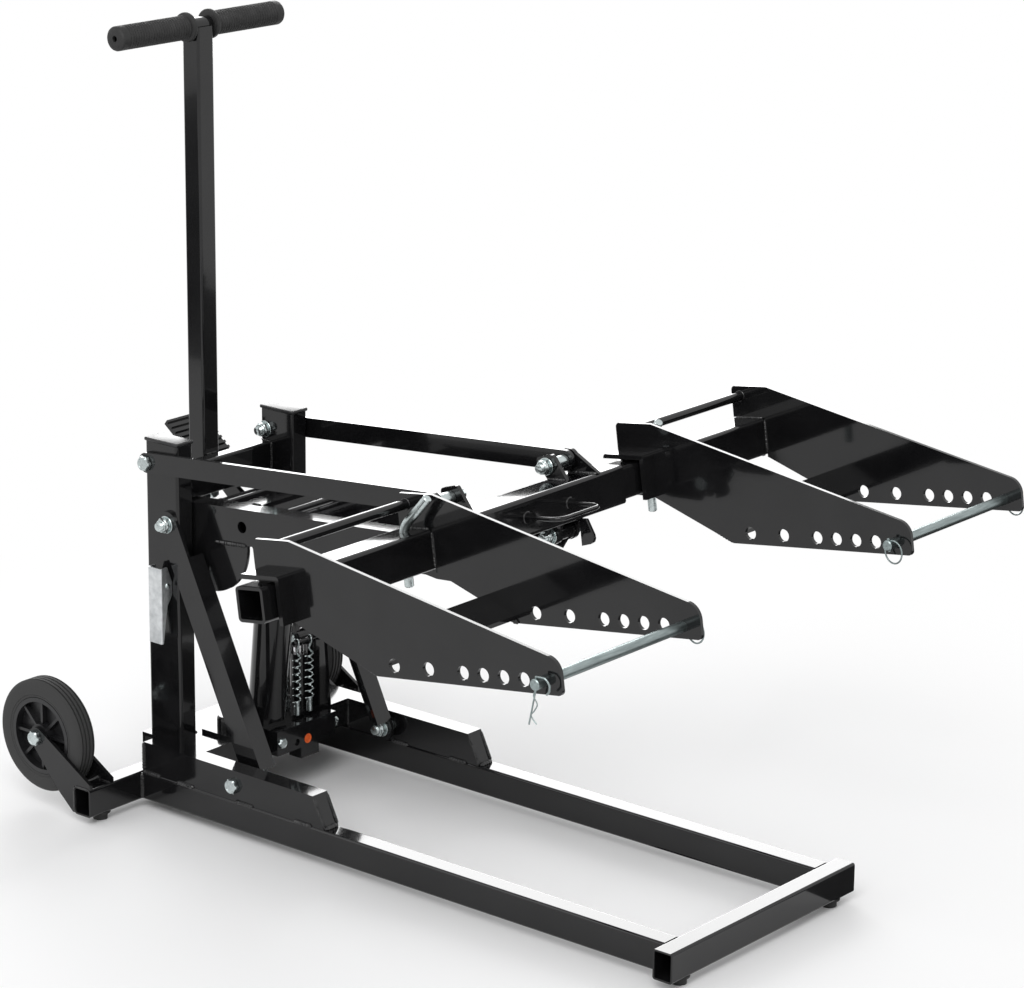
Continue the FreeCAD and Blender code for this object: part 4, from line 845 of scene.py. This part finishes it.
    def jack_plate_seams(self) -> list[Seam]:
        """Return the seams round the jack's plate and seat."""
        return [Seam((88.0, 110.0, 97.5), (40.0, 110.0, 97.5), 2.2),
                Seam((28.0, 60.0, 100.0), (28.0, 104.0, 100.0), 2.2)]

    def pole_seams(self) -> list[Seam]:
        """Return the seams at the pole's foot and under the T-bar.

        Returns:
            The seams, from the foot up.
        """
        return [Seam((15.0, 174.2, 414.0), (15.0, 174.2, 462.0), 2.0),
                Seam((14.0, 186.0, 1043.0), (14.0, 193.0, 1043.0), 2.6),
                Seam((15.4, 178.0, 1047.0), (15.4, 199.0, 1047.0), 2.4)]


@dataclass
class Handle:
    """The ribbed rubber grips of the T-bar."""

    bar_half: float = 153.0
    bar_radius: float = 11.0
    y: float = 188.6
    z: float = 1053.0
    length: float = 134.0
    radius: float = 16.5
    collar_radius: float = 20.0
    collar_length: float = 7.4
    plain_length: float = 15.0
    rib_count: int = 24

    def build(self) -> None:
        """Build both grips as one piece."""
        grips = Former(BASE)
        start = self.bar_half - self.length
        for side in SIDES:
            grips.turned(Axis.X, (side * start, self.y, self.z), facing(self.profile(), side), steps=72,
                         closed=True)
        grips.piece("grips_ribbed", "base", RUBBER, ("grips",))

    def profile(self) -> Profile:
        """Return a grip's outline: a rolled collar, fine ribs, a plain band and a domed, vented end.

        Returns:
            Pairs of distance from the grip's inner end and radius.
        """
        bore, outer, collar = self.bar_radius + 0.1, self.radius, self.collar_radius
        line: Profile = [(0.0, bore), (0.0, collar - 1.6), (0.5, collar - 0.5), (1.8, collar), (4.4, collar),
                         (5.8, collar - 0.6), (6.6, collar - 2.4), (self.collar_length, outer - 1.2)]
        pitch = (self.length - self.collar_length - self.plain_length) / self.rib_count
        for number in range(self.rib_count):
            at = self.collar_length + 0.8 + pitch * number
            line += [(at, outer - 1.3), (at + pitch * 0.2, outer - 0.2), (at + pitch * 0.38, outer),
                     (at + pitch * 0.56, outer - 0.2), (at + pitch * 0.76, outer - 1.3)]
        end = self.length
        line += [(end - 13.5, outer - 1.2), (end - 12.5, outer), (end - 2.4, outer), (end - 0.6, outer - 0.7),
                 (end + 0.6, outer - 2.2), (end + 1.5, outer - 4.6), (end + 1.5, 4.4), (end + 1.0, 4.0),
                 (end - 3.0, 4.0), (end - 3.0, bore)]
        return line


@dataclass
class RearWheel:
    """One solid-tyred rear wheel."""

    label: str
    side: int
    x: float = 250.3
    y: float = 248.0
    z: float = 104.0
    radius: float = 79.0
    half: float = 16.0
    rim: float = 54.0
    groove_pitch: float = 6.4
    groove_count: int = 4
    groove_floor: float = 76.2

    def build(self) -> None:
        """Build the tyre; the hub keeps its CAD shape."""
        tyre = Former(BASE)
        centre = (self.side * self.x, self.y, self.z)
        tyre.turned(Axis.X, centre, self.tread(), steps=144, closed=True)
        tyre.piece(f"tyre_moulded_{self.label}", f"wheel_{self.label}", TYRE_RUBBER, (f"tyre_{self.label}",))

    def tread(self) -> Profile:
        """Return the tyre's section, from one bead seat over the tread to the other.

        Returns:
            Pairs of distance from the tyre's middle and radius.
        """
        side: Profile = [(-13.6, self.rim + 0.1), (-14.8, self.rim + 0.8), (-15.3, 56.6), (-15.5, 57.4),
                         (-15.0, 57.9), (-15.6, 58.5), (-15.9, 61.5), (-self.half, 66.0), (-15.8, 70.0),
                         (-15.1, 73.6), (-13.9, 76.3), (-12.4, 77.9), (-11.4, 78.5)]
        lip, wall, floor = self.radius - 0.1, self.radius - 0.5, self.groove_floor
        middle: Profile = []
        for number in range(self.groove_count):
            at = self.groove_pitch * (number - (self.groove_count - 1) / 2)
            middle += [(at - 1.5, lip), (at - 1.1, wall), (at - 0.9, floor), (at + 0.9, floor),
                       (at + 1.1, wall), (at + 1.5, lip)]
            if number < self.groove_count - 1:
                middle.append((at + self.groove_pitch / 2, self.radius))
        return side + middle + facing(side[::-1], -1)


@dataclass
class Linkage:
    """The lower arms' gusset plates and welds."""

    arm_outer: float = 97.0
    arm_inner: float = 67.0
    half: float = 25.0
    gusset_inner: float = 91.0
    gusset_y: float = -42.0
    gusset_rear: float = -2.0
    gusset_radius: float = 71.0
    gusset_steps: int = 36
    shaft_y: float = -82.0
    shaft_z: float = -18.0

    def build(self) -> None:
        """Build the gussets, then lay the arms' beads and those round the lift shaft."""
        plates = Former(ARM)
        for side in SIDES:
            low, high = sorted((side * self.gusset_inner, side * self.arm_outer))
            plates.plate(Axis.X, self.gusset_outline(), low, high)
        plates.piece("gussets_round", "arms", POWDER_COAT, ("arm_gussets",))
        welds = Former(ARM)
        for side in SIDES:
            for seam in self.seams():
                seam.lay(welds, side)
            shaft = (side * self.arm_inner, self.shaft_y, self.shaft_z)
            welds.ring_bead(Axis.X, shaft, 12.6, (2.1, 1.8), 24)
        welds.piece("welds_arms", "arms", WELD_PAINT)

    def gusset_outline(self) -> Profile:
        """Return the round plate that hangs under an arm, cut straight at its rear.

        Returns:
            Its corners as pairs of Y and Z.
        """
        first = math.acos((self.gusset_rear - self.gusset_y) / self.gusset_radius)
        angles = [first + (math.pi - first) * n / self.gusset_steps for n in range(self.gusset_steps + 1)]
        outline = [(self.gusset_y + self.gusset_radius * math.cos(angle),
                    -self.half - self.gusset_radius * math.sin(angle)) for angle in angles]
        return outline + [(self.gusset_rear, -self.half)]

    def seams(self) -> list[Seam]:
        """Return the seams of an arm's gusset, tie plate and tie tube.

        Returns:
            The seams.
        """
        outer, inner, low, high = self.arm_outer, self.arm_inner, -self.half, 24.6
        seams = [Seam((outer, -111.0, low), (outer, -54.0, low), 3.3, 4.6),
                 Seam((94.2, -54.0, low), (94.2, -12.0, low), 2.4, 4.6),
                 Seam((self.gusset_inner, -118.0, low), (self.gusset_inner, -22.0, low), 2.2)]
        seams += [Seam((inner, start, high), (inner, start + 18.0, high), 2.2) for start in (-116.0, -54.0)]
        seams.append(Seam((inner, -34.0, 6.5), (inner, -34.0, 23.5), 2.0))
        return seams


@dataclass
class Carriage:
    """The beam: its pivot bolts, bushes and welds."""

    half: float = 26.0
    top_bolt: HexBolt = HexBolt(22.5, 43.0, 144.0, 93.0)
    low_bolt: HexBolt = HexBolt(-0.09, -41.44, 104.5, 59.5)
    bush_start: float = 99.0
    bush_length: float = 30.0
    ear_low: float = 98.5
    ear_high: float = 104.5
    flange: tuple[Corner, ...] = ((-18.9, -26.4), (-30.0, -26.4), (-39.6, -47.0), (-40.2, -52.0),
                                  (-38.2, -56.6), (-34.0, -59.4), (-18.9, -62.6))
    boss_x: tuple[float, float] = (-12.0, 75.0)
    tube_end: float = 190.0

    def build(self) -> None:
        """Build the beam's fasteners, the ears' flared corners and the welds."""
        bolts, top = Former(CARRIAGE), self.top_bolt
        for side in SIDES:
            top.forge(bolts, side)
            self.low_bolt.forge(bolts, side)
            bush(bolts, (side * self.bush_start, top.y, top.z), 9.0, top.radius, side * self.bush_length)
        bolts.piece("bolts_front_pivot", "carriage", ZINC, ("front_pivot_bolts",))
        flanges = Former(CARRIAGE)
        for side in SIDES:
            flanges.plate(Axis.X, self.flange, *sorted((side * self.ear_low, side * self.ear_high)))
        flanges.piece("ear_flanges", "carriage", POWDER_COAT)
        self.welds()

    def welds(self) -> None:
        """Lay the beads round the ears, the loop's bosses and the tube's ends."""
        welds = Former(CARRIAGE)
        for side in SIDES:
            for seam in self.seams():
                seam.lay(welds, side)
        for x in self.boss_x:
            welds.ring_bead(Axis.Y, (x, -self.half, 0.0), 7.3, (1.8, 1.5), 20)
        welds.piece("welds_carriage", "carriage", WELD_PAINT)

    def seams(self) -> list[Seam]:
        """Return the seams of the ears and of the centre tube's end.

        Returns:
            The seams.
        """
        half, end, edge = self.half, self.tube_end, self.half - 3.0
        seams = [Seam((x, low, half), (x, high, half), 2.4)
                 for x, low, high in ((93.0, -7.0, 23.0), (99.0, -7.0, 23.0), (138.0, -24.0, 25.0),
                                      (144.0, -24.0, 25.0))]
        seams += [Seam((x, -19.0, -half), (x, 19.0, -half), 2.3)
                  for x in (59.5, 65.5, self.ear_low, self.ear_high)]
        seams.append(Seam((end, -21.0, edge), (end, 21.0, edge), 2.0))
        seams.append(Seam((end, -edge, -20.0), (end, -edge, 20.0), 2.0))
        return seams


@dataclass
class LockLever:
    """The bent-sheet lock lever on the left upright, with its pin and lugs."""

    front: float = 126.0
    rear: float = 151.0
    web: float = -150.0
    sheet: float = 2.5
    bend: float = 2.6
    bend_steps: int = 5
    pin_x: float = -137.5
    pin_z: float = 314.0
    pin_radius: float = 3.0
    face: float = -128.0
    lug_radius: float = 5.2
    lug_steps: int = 16
    lug_thickness: float = 5.0
    flange_edge: tuple[Corner, ...] = (
        (233.0, -147.0), (234.0, -146.2), (262.0, -142.0), (286.0, -138.0), (293.0, -133.0), (299.0, -129.4),
        (303.0, -128.8), (317.0, -128.8), (330.0, -133.6), (339.0, -137.0), (340.0, -137.6))

    def build(self) -> None:
        """Build the lever and what it hangs on."""
        lever = Former(BASE)
        rings = [[lever.vertex((x, y, z)) for x, y in self.section(tip)] for z, tip in self.flange_edge]
        for first, second in zip(rings, rings[1:]):
            lever.skin(first, second)
        lever.mesh.faces.new(rings[0])
        lever.mesh.faces.new(rings[-1])
        lever.piece("lever_bent_sheet", "lock_lever", DULL_ZINC, ("lock_lever",))
        self.pin()
        self.lugs()

    def section(self, tip: float) -> Profile:
        """Return the lever's channel section.

        Args:
            tip: The X at which its two flanges end.

        Returns:
            Its corners as pairs of X and Y.
        """
        turns = [math.pi / 2 * n / self.bend_steps for n in range(self.bend_steps + 1)]
        outer = [(self.web + self.bend * (1 - math.sin(t)), self.front + self.bend * (1 - math.cos(t)))
                 for t in turns]
        mirrored = [(x, self.front + self.rear - y) for x, y in reversed(outer)]
        inside, front, rear = self.web + self.sheet, self.front + self.sheet, self.rear - self.sheet
        return [(tip, self.front), *outer, *mirrored, (tip, self.rear), (tip, rear), (inside, rear),
                (inside, front), (tip, front)]

    def pin(self) -> None:
        """Build the pin with its two riveted heads."""
        pin = Former(BASE)
        low, high, radius = self.front - 2.4, self.rear + 2.4, self.pin_radius
        head = [(0.0, 0.0), (0.2, 2.2), (1.0, 3.7), (2.3, 4.3), (2.3, radius)]
        profile = [(low + a, r) for a, r in head] + [(high - a, r) for a, r in reversed(head)]
        pin.turned(Axis.Y, (self.pin_x, 0.0, self.pin_z), profile, steps=32)
        pin.piece("pin_lock_lever", "base", ZINC, ("lock_lever_mount",))

    def lugs(self) -> None:
        """Build the two round-nosed lugs on the upright."""
        lugs = Former(BASE)
        x, z, radius = self.pin_x, self.pin_z, self.lug_radius
        outline = [(x - radius * math.sin(t), z + radius * math.cos(t))
                   for t in (math.pi * n / self.lug_steps for n in range(self.lug_steps + 1))]
        outline += [(self.face, z - radius), (self.face, z + radius)]
        for low in (self.front + self.sheet + 1.0, self.rear - self.sheet - 1.0 - self.lug_thickness):
            lugs.plate(Axis.Y, outline, low, low + self.lug_thickness)
        lugs.piece("lugs_lock_lever", "base", POWDER_COAT)


class ClipKind(Enum):
    """The two kinds of clip that hold a front rod."""

    HAIRPIN = "hairpin"
    RING = "ring"


@dataclass(frozen=True)
class ClipWire:
    """One bent wire of a clip, drawn from the front rod's axis in Y and Z."""

    bends: Profile
    radius: float


STRAIGHT_LEG = ClipWire([(0.0, 9.0), (0.0, 0.0), (2.8, -8.0), (10.5, -28.0), (18.6, -49.0)], 1.0)
CURLED_LEG = ClipWire([(2.6, -7.4), (6.3, -14.7), (2.6, -24.0), (8.0, -32.0), (14.0, -38.4), (7.5, -48.0)],
                      0.8)
SPRUNG_LOOP = ClipWire([(0.0, 8.6), (-6.9, 8.2), (-13.4, 6.4), (-17.8, -0.6), (-16.4, -7.6), (-11.7, -12.0)],
                       1.3)


@dataclass
class Pan:
    """One wheel pan: its front rod with clips, its lock pin and its welds."""

    label: str
    start: float
    pin_x: float
    near_clip: ClipKind
    pin_tip: Point
    pin_low: float
    width: float = 265.0
    plate: float = 5.0
    sleeve_half: float = 26.0
    rod_y: float = -407.0
    rod_z: float = -70.0
    rod_radius: float = 6.9
    rod_tail: float = 16.0
    rod_chamfer: float = 1.2
    rear_rod_y: float = 13.0
    rear_rod_z: float = 56.0
    pin_radius: float = 6.0
    pin_bend: float = 12.0
    ring_steps: int = 40
    ring_half_width: float = 13.5
    ring_half_height: float = 14.8

    def build(self) -> None:
        """Build the pan's rod, pin and welds."""
        self.front_rod()
        self.lock_pin()
        self.welds()

    def front_rod(self) -> None:
        """Build the loose rod and what keeps it in the plates."""
        rod = Former(CARRIAGE)
        length, radius, soft = self.width + 2 * self.rod_tail, self.rod_radius, self.rod_chamfer
        profile = [(0.0, 0.0), (0.0, radius - soft), (soft, radius), (length - soft, radius),
                   (length, radius - soft), (length, 0.0)]
        rod.turned(Axis.X, (self.start - self.rod_tail, self.rod_y, self.rod_z), profile)
        low_x = self.start - self.rod_tail * 2 / 3
        high_x = self.start + self.width + self.rod_tail * 2 / 3
        for x, kind in ((low_x, self.near_clip), (high_x, ClipKind.RING)):
            if kind is ClipKind.HAIRPIN:
                self.hairpin(rod, x)
            else:
                self.ring_clip(rod, x)
        rod.piece(f"rod_and_clips_{self.label}", f"front_rod_{self.label}", ROD_ZINC,
                  (f"pan_front_rod_{self.label}",))

    def hairpin(self, rod: Former, x: float) -> None:
        """Add a sprung loop and, through the rod, a hairpin whose legs cross as they hang.

        Args:
            rod: The piece that takes the clip.
            x: Where the clip goes through the rod.
        """
        for wire in (STRAIGHT_LEG, CURLED_LEG, SPRUNG_LOOP):
            points = [(x - 0.9 + 0.4 * number, self.rod_y + a, self.rod_z + b)
                      for number, (a, b) in enumerate(wire.bends)]
            rod.wire(rounded(points), [wire.radius])

    def ring_clip(self, rod: Former, x: float) -> None:
        """Add a pin through the rod with its sprung ring.

        Args:
            rod: The piece that takes the clip.
            x: Where the clip goes through the rod.
        """
        y, z = self.rod_y, self.rod_z
        rod.wire([(x, y, z + 9.0), (x, y, z + 8.4), (x, y, z - 8.4), (x, y, z - 9.0)], [1.6, 2.1, 2.1, 1.6])
        angles = [TURN * number / self.ring_steps for number in range(self.ring_steps)]
        ring = [(x + 1.4 * math.sin(angle), y - 6.0 + self.ring_half_width * math.sin(angle),
                 z - 9.0 + self.ring_half_height * math.cos(angle)) for angle in angles]
        rod.wire(ring, [1.1], loop=True)

    def lock_pin(self) -> None:
        """Build the bent pull pin that locks the pan on the beam."""
        pin = Former(CARRIAGE)
        x, radius = self.pin_x, self.pin_radius
        foot, knee = Vector((x, 0.0, 20.0)), Vector((x, 0.0, 32.0))
        tip = knee + Vector(self.pin_tip)
        neck = knee.lerp(tip, self.pin_bend / (tip - knee).length)
        line = [(x, 0.0, self.pin_low), (x, 0.0, self.pin_low + 1.4), (x, 0.0, -20.0)]
        line += [tuple(foot.lerp(knee, t).lerp(knee.lerp(neck, t), t)) for t in (n / 8 for n in range(9))]
        line += [tuple(tip.lerp(knee, 0.025)), tuple(tip)]
        pin.wire(line, [radius - 1.4] + [radius] * (len(line) - 2) + [radius - 1.0], sides=24)
        pin.piece(f"pin_bent_{self.label}", f"lock_pin_{self.label}", ZINC, (f"lock_pin_{self.label}",))

    def welds(self) -> None:
        """Lay the beads where the plates meet the sleeve, the rod and the strip."""
        welds = Former(CARRIAGE)
        half = self.sleeve_half
        for x in (self.start + self.plate, self.start + self.width - self.plate):
            welds.bead((x, -22.0, half), (x, 22.0, half), 2.3)
            welds.bead((x, -half, -22.0), (x, -half, 22.0), 2.3)
            welds.bead((x, -22.0, -half), (x, 16.0, -half), 2.0)
            welds.ring_bead(Axis.X, (x, self.rear_rod_y, self.rear_rod_z), 6.9, (1.6, 1.3), 16)
            welds.bead((x - 1.5, -153.0, -84.5), (x - 1.5, -105.0, -61.5), 3.0, 4.4)
        for x in (self.start, self.start + self.width):
            welds.bead((x, -14.0, -half), (x, 12.0, -half), 1.9)
        welds.piece(f"welds_pan_{self.label}", f"pan_{self.label}", WELD_PAINT)


@dataclass
class Jack:
    """The jack's fittings and the pump's springs and bolts."""

    spring_x: tuple[float, float] = (35.5, 61.0)
    spring_y: float = 50.0
    spring_low: float = 114.0
    spring_high: float = 186.0
    coil_radius: float = 5.2
    wire_radius: float = 1.1
    turns: int = 7
    steps_per_turn: int = 24
    plate_top: float = 100.0
    lever_bolt_head: Point = (45.5, 66.0, 206.0)
    lever_bolt_length: float = 58.5
    valve_bolt_front: Point = (-18.0, 30.0, 78.0)
    valve_bolt_side: Point = (93.0, 34.8, 78.0)
    dial_seat: Point = (36.0, 33.0, 70.0)
    boss_seat: Point = (-62.0, 92.0, 100.0)

    def build(self) -> None:
        """Build springs, hooks, fittings and fasteners."""
        self.springs()
        self.fasteners()
        self.fittings()

    def springs(self) -> None:
        """Build the two return springs and the hooks on the pedal's crank pin."""
        coils, hooks = Former(BASE), Former(BASE)
        for x in self.spring_x:
            coils.wire(self.coil(x), [self.wire_radius], sides=10)
            hooks.wire(rounded(self.hook(x)), [self.wire_radius])
        coils.piece("springs_return", "base", ZINC, ("return_springs",))
        hooks.piece("spring_hooks", "pedal", ZINC)

    def coil(self, x: float) -> list[Point]:
        """Return the middle line of one spring's turns.

        Args:
            x: Where the spring stands.

        Returns:
            The points of its helix, from the bottom up.
        """
        count, rise = self.turns * self.steps_per_turn, self.spring_high - self.spring_low
        line = []
        for step in range(count + 1):
            share = step / count
            angle = TURN * self.turns * share
            line.append((x + self.coil_radius * math.cos(angle),
                         self.spring_y + self.coil_radius * math.sin(angle), self.spring_low + rise * share))
        return line

    def hook(self, x: float) -> list[Point]:
        """Return the bends of the hook over the crank pin, above one spring.

        Args:
            x: Where the spring stands.

        Returns:
            The points that the hook's wire passes.
        """
        y, top, pin = self.spring_y, self.spring_high, self.lever_bolt_head[2]
        return [(x + 4.2, y, top - 1.0), (x + 2.0, y, top + 3.4), (x, y, top + 6.0), (x, y - 1.5, top + 10.0),
                (x, y - 4.2, pin - 2.0), (x, y - 3.6, pin + 2.6), (x, y, pin + 4.4), (x, y + 3.6, pin + 2.6),
                (x, y + 4.2, pin - 1.0)]

    def fasteners(self) -> None:
        """Build the lever's bolt and the springs' posts."""
        bolt = HexBolt(0.0, 0.0, 0.0, 0.0, radius=5.0, across=13.0, head_height=5.5, nut_height=7.0, tail=3.0)
        metal = Former(BASE)
        bolt.head(metal, self.lever_bolt_head, -1)
        bolt.shank(metal, self.lever_bolt_head, 1, self.lever_bolt_length)
        post = [(0.0, 0.0), (0.0, 4.1), (13.0, 4.1), (13.6, 3.2), (15.4, 3.2), (16.0, 4.1), (18.6, 4.1),
                (19.2, 3.4), (19.2, 0.0)]
        for x in self.spring_x:
            metal.turned(Axis.Z, (x, self.spring_y, self.plate_top), post, steps=32)
        metal.piece("bolts_pump", "base", ZINC, ("pump_fasteners",))

    def fittings(self) -> None:
        """Build the valve's plain dial, its bolts and the round foot boss."""
        dial = Former(BASE)
        dial.turned(Axis.Y, self.dial_seat, [(0.0, 0.0), (0.0, 6.9), (-3.0, 6.9), (-3.6, 6.5), (-3.6, 5.2),
                                             (-3.1, 4.9), (-3.1, 0.0)])
        dial.piece("valve_dial", "base", DIAL_ORANGE)
        bolts = Former(BASE)
        SMALL_BOLT.head(bolts, self.valve_bolt_front, -1, Axis.Y)
        SMALL_BOLT.head(bolts, self.valve_bolt_side, 1)
        bolts.piece("bolts_valve", "base", ZINC, ("valve_fittings",))
        boss = Former(BASE)
        boss.turned(Axis.Z, self.boss_seat, [(0.0, 0.0), (0.0, 13.0), (12.4, 13.0), (14.6, 12.4),
                                             (16.0, 10.6), (16.0, 0.0)])
        boss.piece("boss_turned", "base", POWDER_COAT)


@dataclass(frozen=True)
class Softbox:
    """One square lamp, its places in metres and its power in watts."""

    name: str
    at: Point
    aim: Point
    size: float
    power: float

    def hang(self) -> None:
        """Hang the lamp where the camera doesn't see it."""
        light = bpy.data.lights.new(self.name, "AREA")
        light.shape = "SQUARE"
        light.size = self.size
        light.energy = self.power
        lamp = bpy.data.objects.new(self.name, light)
        lamp.location = self.at
        lamp.visible_camera = False
        lamp.rotation_euler = (Vector(self.aim) - Vector(self.at)).to_track_quat("-Z", "Y").to_euler()
        bpy.context.scene.collection.objects.link(lamp)


KEY_LAMP = Softbox("key_lamp", (-2.6, -1.4, 3.4), (0.0, 0.0, 0.4), 2.6, 70.0)
FILL_LAMP = Softbox("fill_lamp", (-3.2, 1.8, 2.2), (0.0, 0.0, 0.4), 2.2, 16.0)
BACK_LAMP = Softbox("back_lamp", (3.6, 3.3, 1.75), (0.0, 0.0, 0.5), 3.3, 170.0)


@dataclass
class Studio:
    """Floor, lamps, world and camera."""

    camera_at: Point = (-3.4798, -2.9776, 1.8290)
    aim: Point = (0.05328, -0.05999, 0.48126)
    lens: float = 128.1
    roll: float = 0.56
    shift_x: float = 0.0033
    fade_start: float = 0.45
    fade_end: float = 1.45
    world_strength: float = 0.66
    floor_half: float = 14.0
    card_height: float = 0.002
    front_card: tuple[Corner, ...] = ((0.1, -0.25), (0.5, -2.6), (2.1, -2.3), (2.1, 0.4), (0.75, 0.0))
    rear_card: tuple[Corner, ...] = ((-1.75, 1.5), (-3.9, 1.5), (-3.9, 4.2), (-1.5, 4.2))

    def build(self) -> None:
        """Set the whole stage."""
        self.floor()
        self.world()
        self.flags()
        for lamp in (KEY_LAMP, FILL_LAMP, BACK_LAMP):
            lamp.hang()
        self.camera()
        bpy.context.scene.view_settings.view_transform = "Standard"

    def floor(self) -> None:
        """Lay a pale floor under the feet."""
        half = self.floor_half
        data = bpy.data.meshes.new("floor")
        data.from_pydata([(-half, -half, 0), (half, -half, 0), (half, half, 0), (-half, half, 0)], [],
                         [(0, 1, 2, 3)])
        floor = bpy.data.objects.new("floor", data)
        bpy.context.scene.collection.objects.link(floor)
        made = bpy.data.materials.new("pale_floor")
        made.use_nodes = True
        tree = made.node_tree
        shader = tree.nodes["Principled BSDF"]
        shader.inputs["Specular IOR Level"].default_value = 0.1
        shader.inputs["Roughness"].default_value = 0.9
        noise = add_node(tree, "ShaderNodeTexNoise", {"Scale": 3.0})
        ramp = add_node(tree, "ShaderNodeValToRGB")
        ramp.color_ramp.elements[0].color = (0.90, 0.90, 0.905, 1.0)
        ramp.color_ramp.elements[1].color = (0.93, 0.93, 0.93, 1.0)
        tree.links.new(noise.outputs["Fac"], ramp.inputs["Fac"])
        tree.links.new(ramp.outputs["Color"], shader.inputs["Base Color"])
        self.fade(tree, shader)
        data.materials.append(made)

    def flags(self) -> None:
        """Lay two dark cards beside the lift that only mirrored rays meet."""
        data = bpy.data.meshes.new("flags")
        corners = [(x, y, self.card_height) for x, y in (*self.front_card, *self.rear_card)]
        first = len(self.front_card)
        data.from_pydata(corners, [], [tuple(range(first)), tuple(range(first, len(corners)))])
        flags = bpy.data.objects.new("flags", data)
        bpy.context.scene.collection.objects.link(flags)
        flags.visible_camera = False
        flags.visible_diffuse = False
        flags.visible_shadow = False
        flags.visible_transmission = False
        data.materials.append(RUBBER.material())

    def fade(self, tree: Tree, shader: bpy.types.ShaderNode) -> None:
        """Let the floor pass into plain white away from the lift.

        Args:
            tree: The floor's node tree.
            shader: The floor's own shader.
        """
        links = tree.links
        reach = add_node(tree, "ShaderNodeVectorMath")
        reach.operation = "LENGTH"
        links.new(add_node(tree, "ShaderNodeTexCoord").outputs["Object"], reach.inputs[0])
        spread = add_node(tree, "ShaderNodeMapRange",
                          {"From Min": self.fade_start, "From Max": self.fade_end})
        spread.interpolation_type = "SMOOTHSTEP"
        links.new(reach.outputs["Value"], spread.inputs["Value"])
        path = add_node(tree, "ShaderNodeLightPath").outputs
        seen = combine(tree, "MAXIMUM", path["Is Camera Ray"], path["Is Glossy Ray"])
        share = combine(tree, "MULTIPLY", spread.outputs["Result"], seen)
        white = add_node(tree, "ShaderNodeEmission", {"Strength": 1.0})
        mix = add_node(tree, "ShaderNodeMixShader")
        links.new(share, mix.inputs["Fac"])
        links.new(shader.outputs["BSDF"], mix.inputs[1])
        links.new(white.outputs["Emission"], mix.inputs[2])
        links.new(mix.outputs["Shader"], tree.nodes["Material Output"].inputs["Surface"])

    def world(self) -> None:
        """Make a soft world that the camera sees as white."""
        world = bpy.data.worlds.new("studio")
        world.use_nodes = True
        bpy.context.scene.world = world
        tree = world.node_tree
        tree.nodes.clear()
        path = add_node(tree, "ShaderNodeLightPath").outputs
        seen = combine(tree, "MAXIMUM", path["Is Camera Ray"], path["Is Glossy Ray"])
        through = combine(tree, "MAXIMUM", seen, path["Is Transmission Ray"])
        white = (1.0, 1.0, 1.0, 1.0)
        plain = add_node(tree, "ShaderNodeBackground", {"Color": white, "Strength": self.world_strength})
        bright = add_node(tree, "ShaderNodeBackground", {"Color": white, "Strength": 1.0})
        mix = add_node(tree, "ShaderNodeMixShader")
        tree.links.new(through, mix.inputs["Fac"])
        tree.links.new(plain.outputs["Background"], mix.inputs[1])
        tree.links.new(bright.outputs["Background"], mix.inputs[2])
        out = add_node(tree, "ShaderNodeOutputWorld")
        tree.links.new(mix.outputs["Shader"], out.inputs["Surface"])

    def camera(self) -> None:
        """Stand the camera where the photographer's stood."""
        lens = bpy.data.cameras.new("camera")
        lens.sensor_fit = "HORIZONTAL"
        lens.sensor_width = 36.0
        lens.lens = self.lens
        lens.shift_x = self.shift_x
        lens.clip_end = 60.0
        camera = bpy.data.objects.new("camera", lens)
        gaze = (Vector(self.aim) - Vector(self.camera_at)).to_track_quat("-Z", "Y")
        camera.location = self.camera_at
        camera.rotation_mode = "QUATERNION"
        camera.rotation_quaternion = gaze @ Quaternion((0.0, 0.0, 1.0), math.radians(self.roll))
        bpy.context.scene.collection.objects.link(camera)
        bpy.context.scene.camera = camera


@dataclass
class LiftModel:
    """The whole dressed lift."""

    frame: dict
    overrides: dict[str, Finish] = field(default_factory=lambda: {
        "lock_lever": DULL_ZINC, "feet": RUBBER, "hub_left": PLASTIC, "hub_right": PLASTIC,
    })

    def build(self) -> None:
        """Dress the CAD nodes and build every added piece."""
        random.seed(SEED)
        self.dress_nodes()
        Frame().build()
        Handle().build()
        for label, side in zip(("left", "right"), SIDES):
            RearWheel(label, side).build()
        Linkage().build()
        LockLever().build()
        Carriage().build()
        Pan("left", -455.0, -218.0, ClipKind.HAIRPIN, (6.0, -41.0, 38.0), -44.0).build()
        Pan("right", 248.0, 276.0, ClipKind.RING, (-14.0, -36.0, 38.0), -56.0).build()
        Jack().build()

    def dress_nodes(self) -> None:
        """Give every CAD node its procedural finish."""
        for name, node in self.frame["nodes"].items():
            for slot in node.material_slots:
                plain = slot.material.name.split(".")[0]
                slot.material = self.overrides.get(name, FINISH_OF_SLOT.get(plain, POWDER_COAT)).material()
            LOG.info("dressed %s", name)


def main() -> None:
    """Load the frame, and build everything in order."""
    logging.basicConfig(level=logging.INFO, format="%(name)s: %(message)s")
    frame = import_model()
    LiftModel(frame).build()
    Studio().build()


if __name__ == "__main__":
    main()
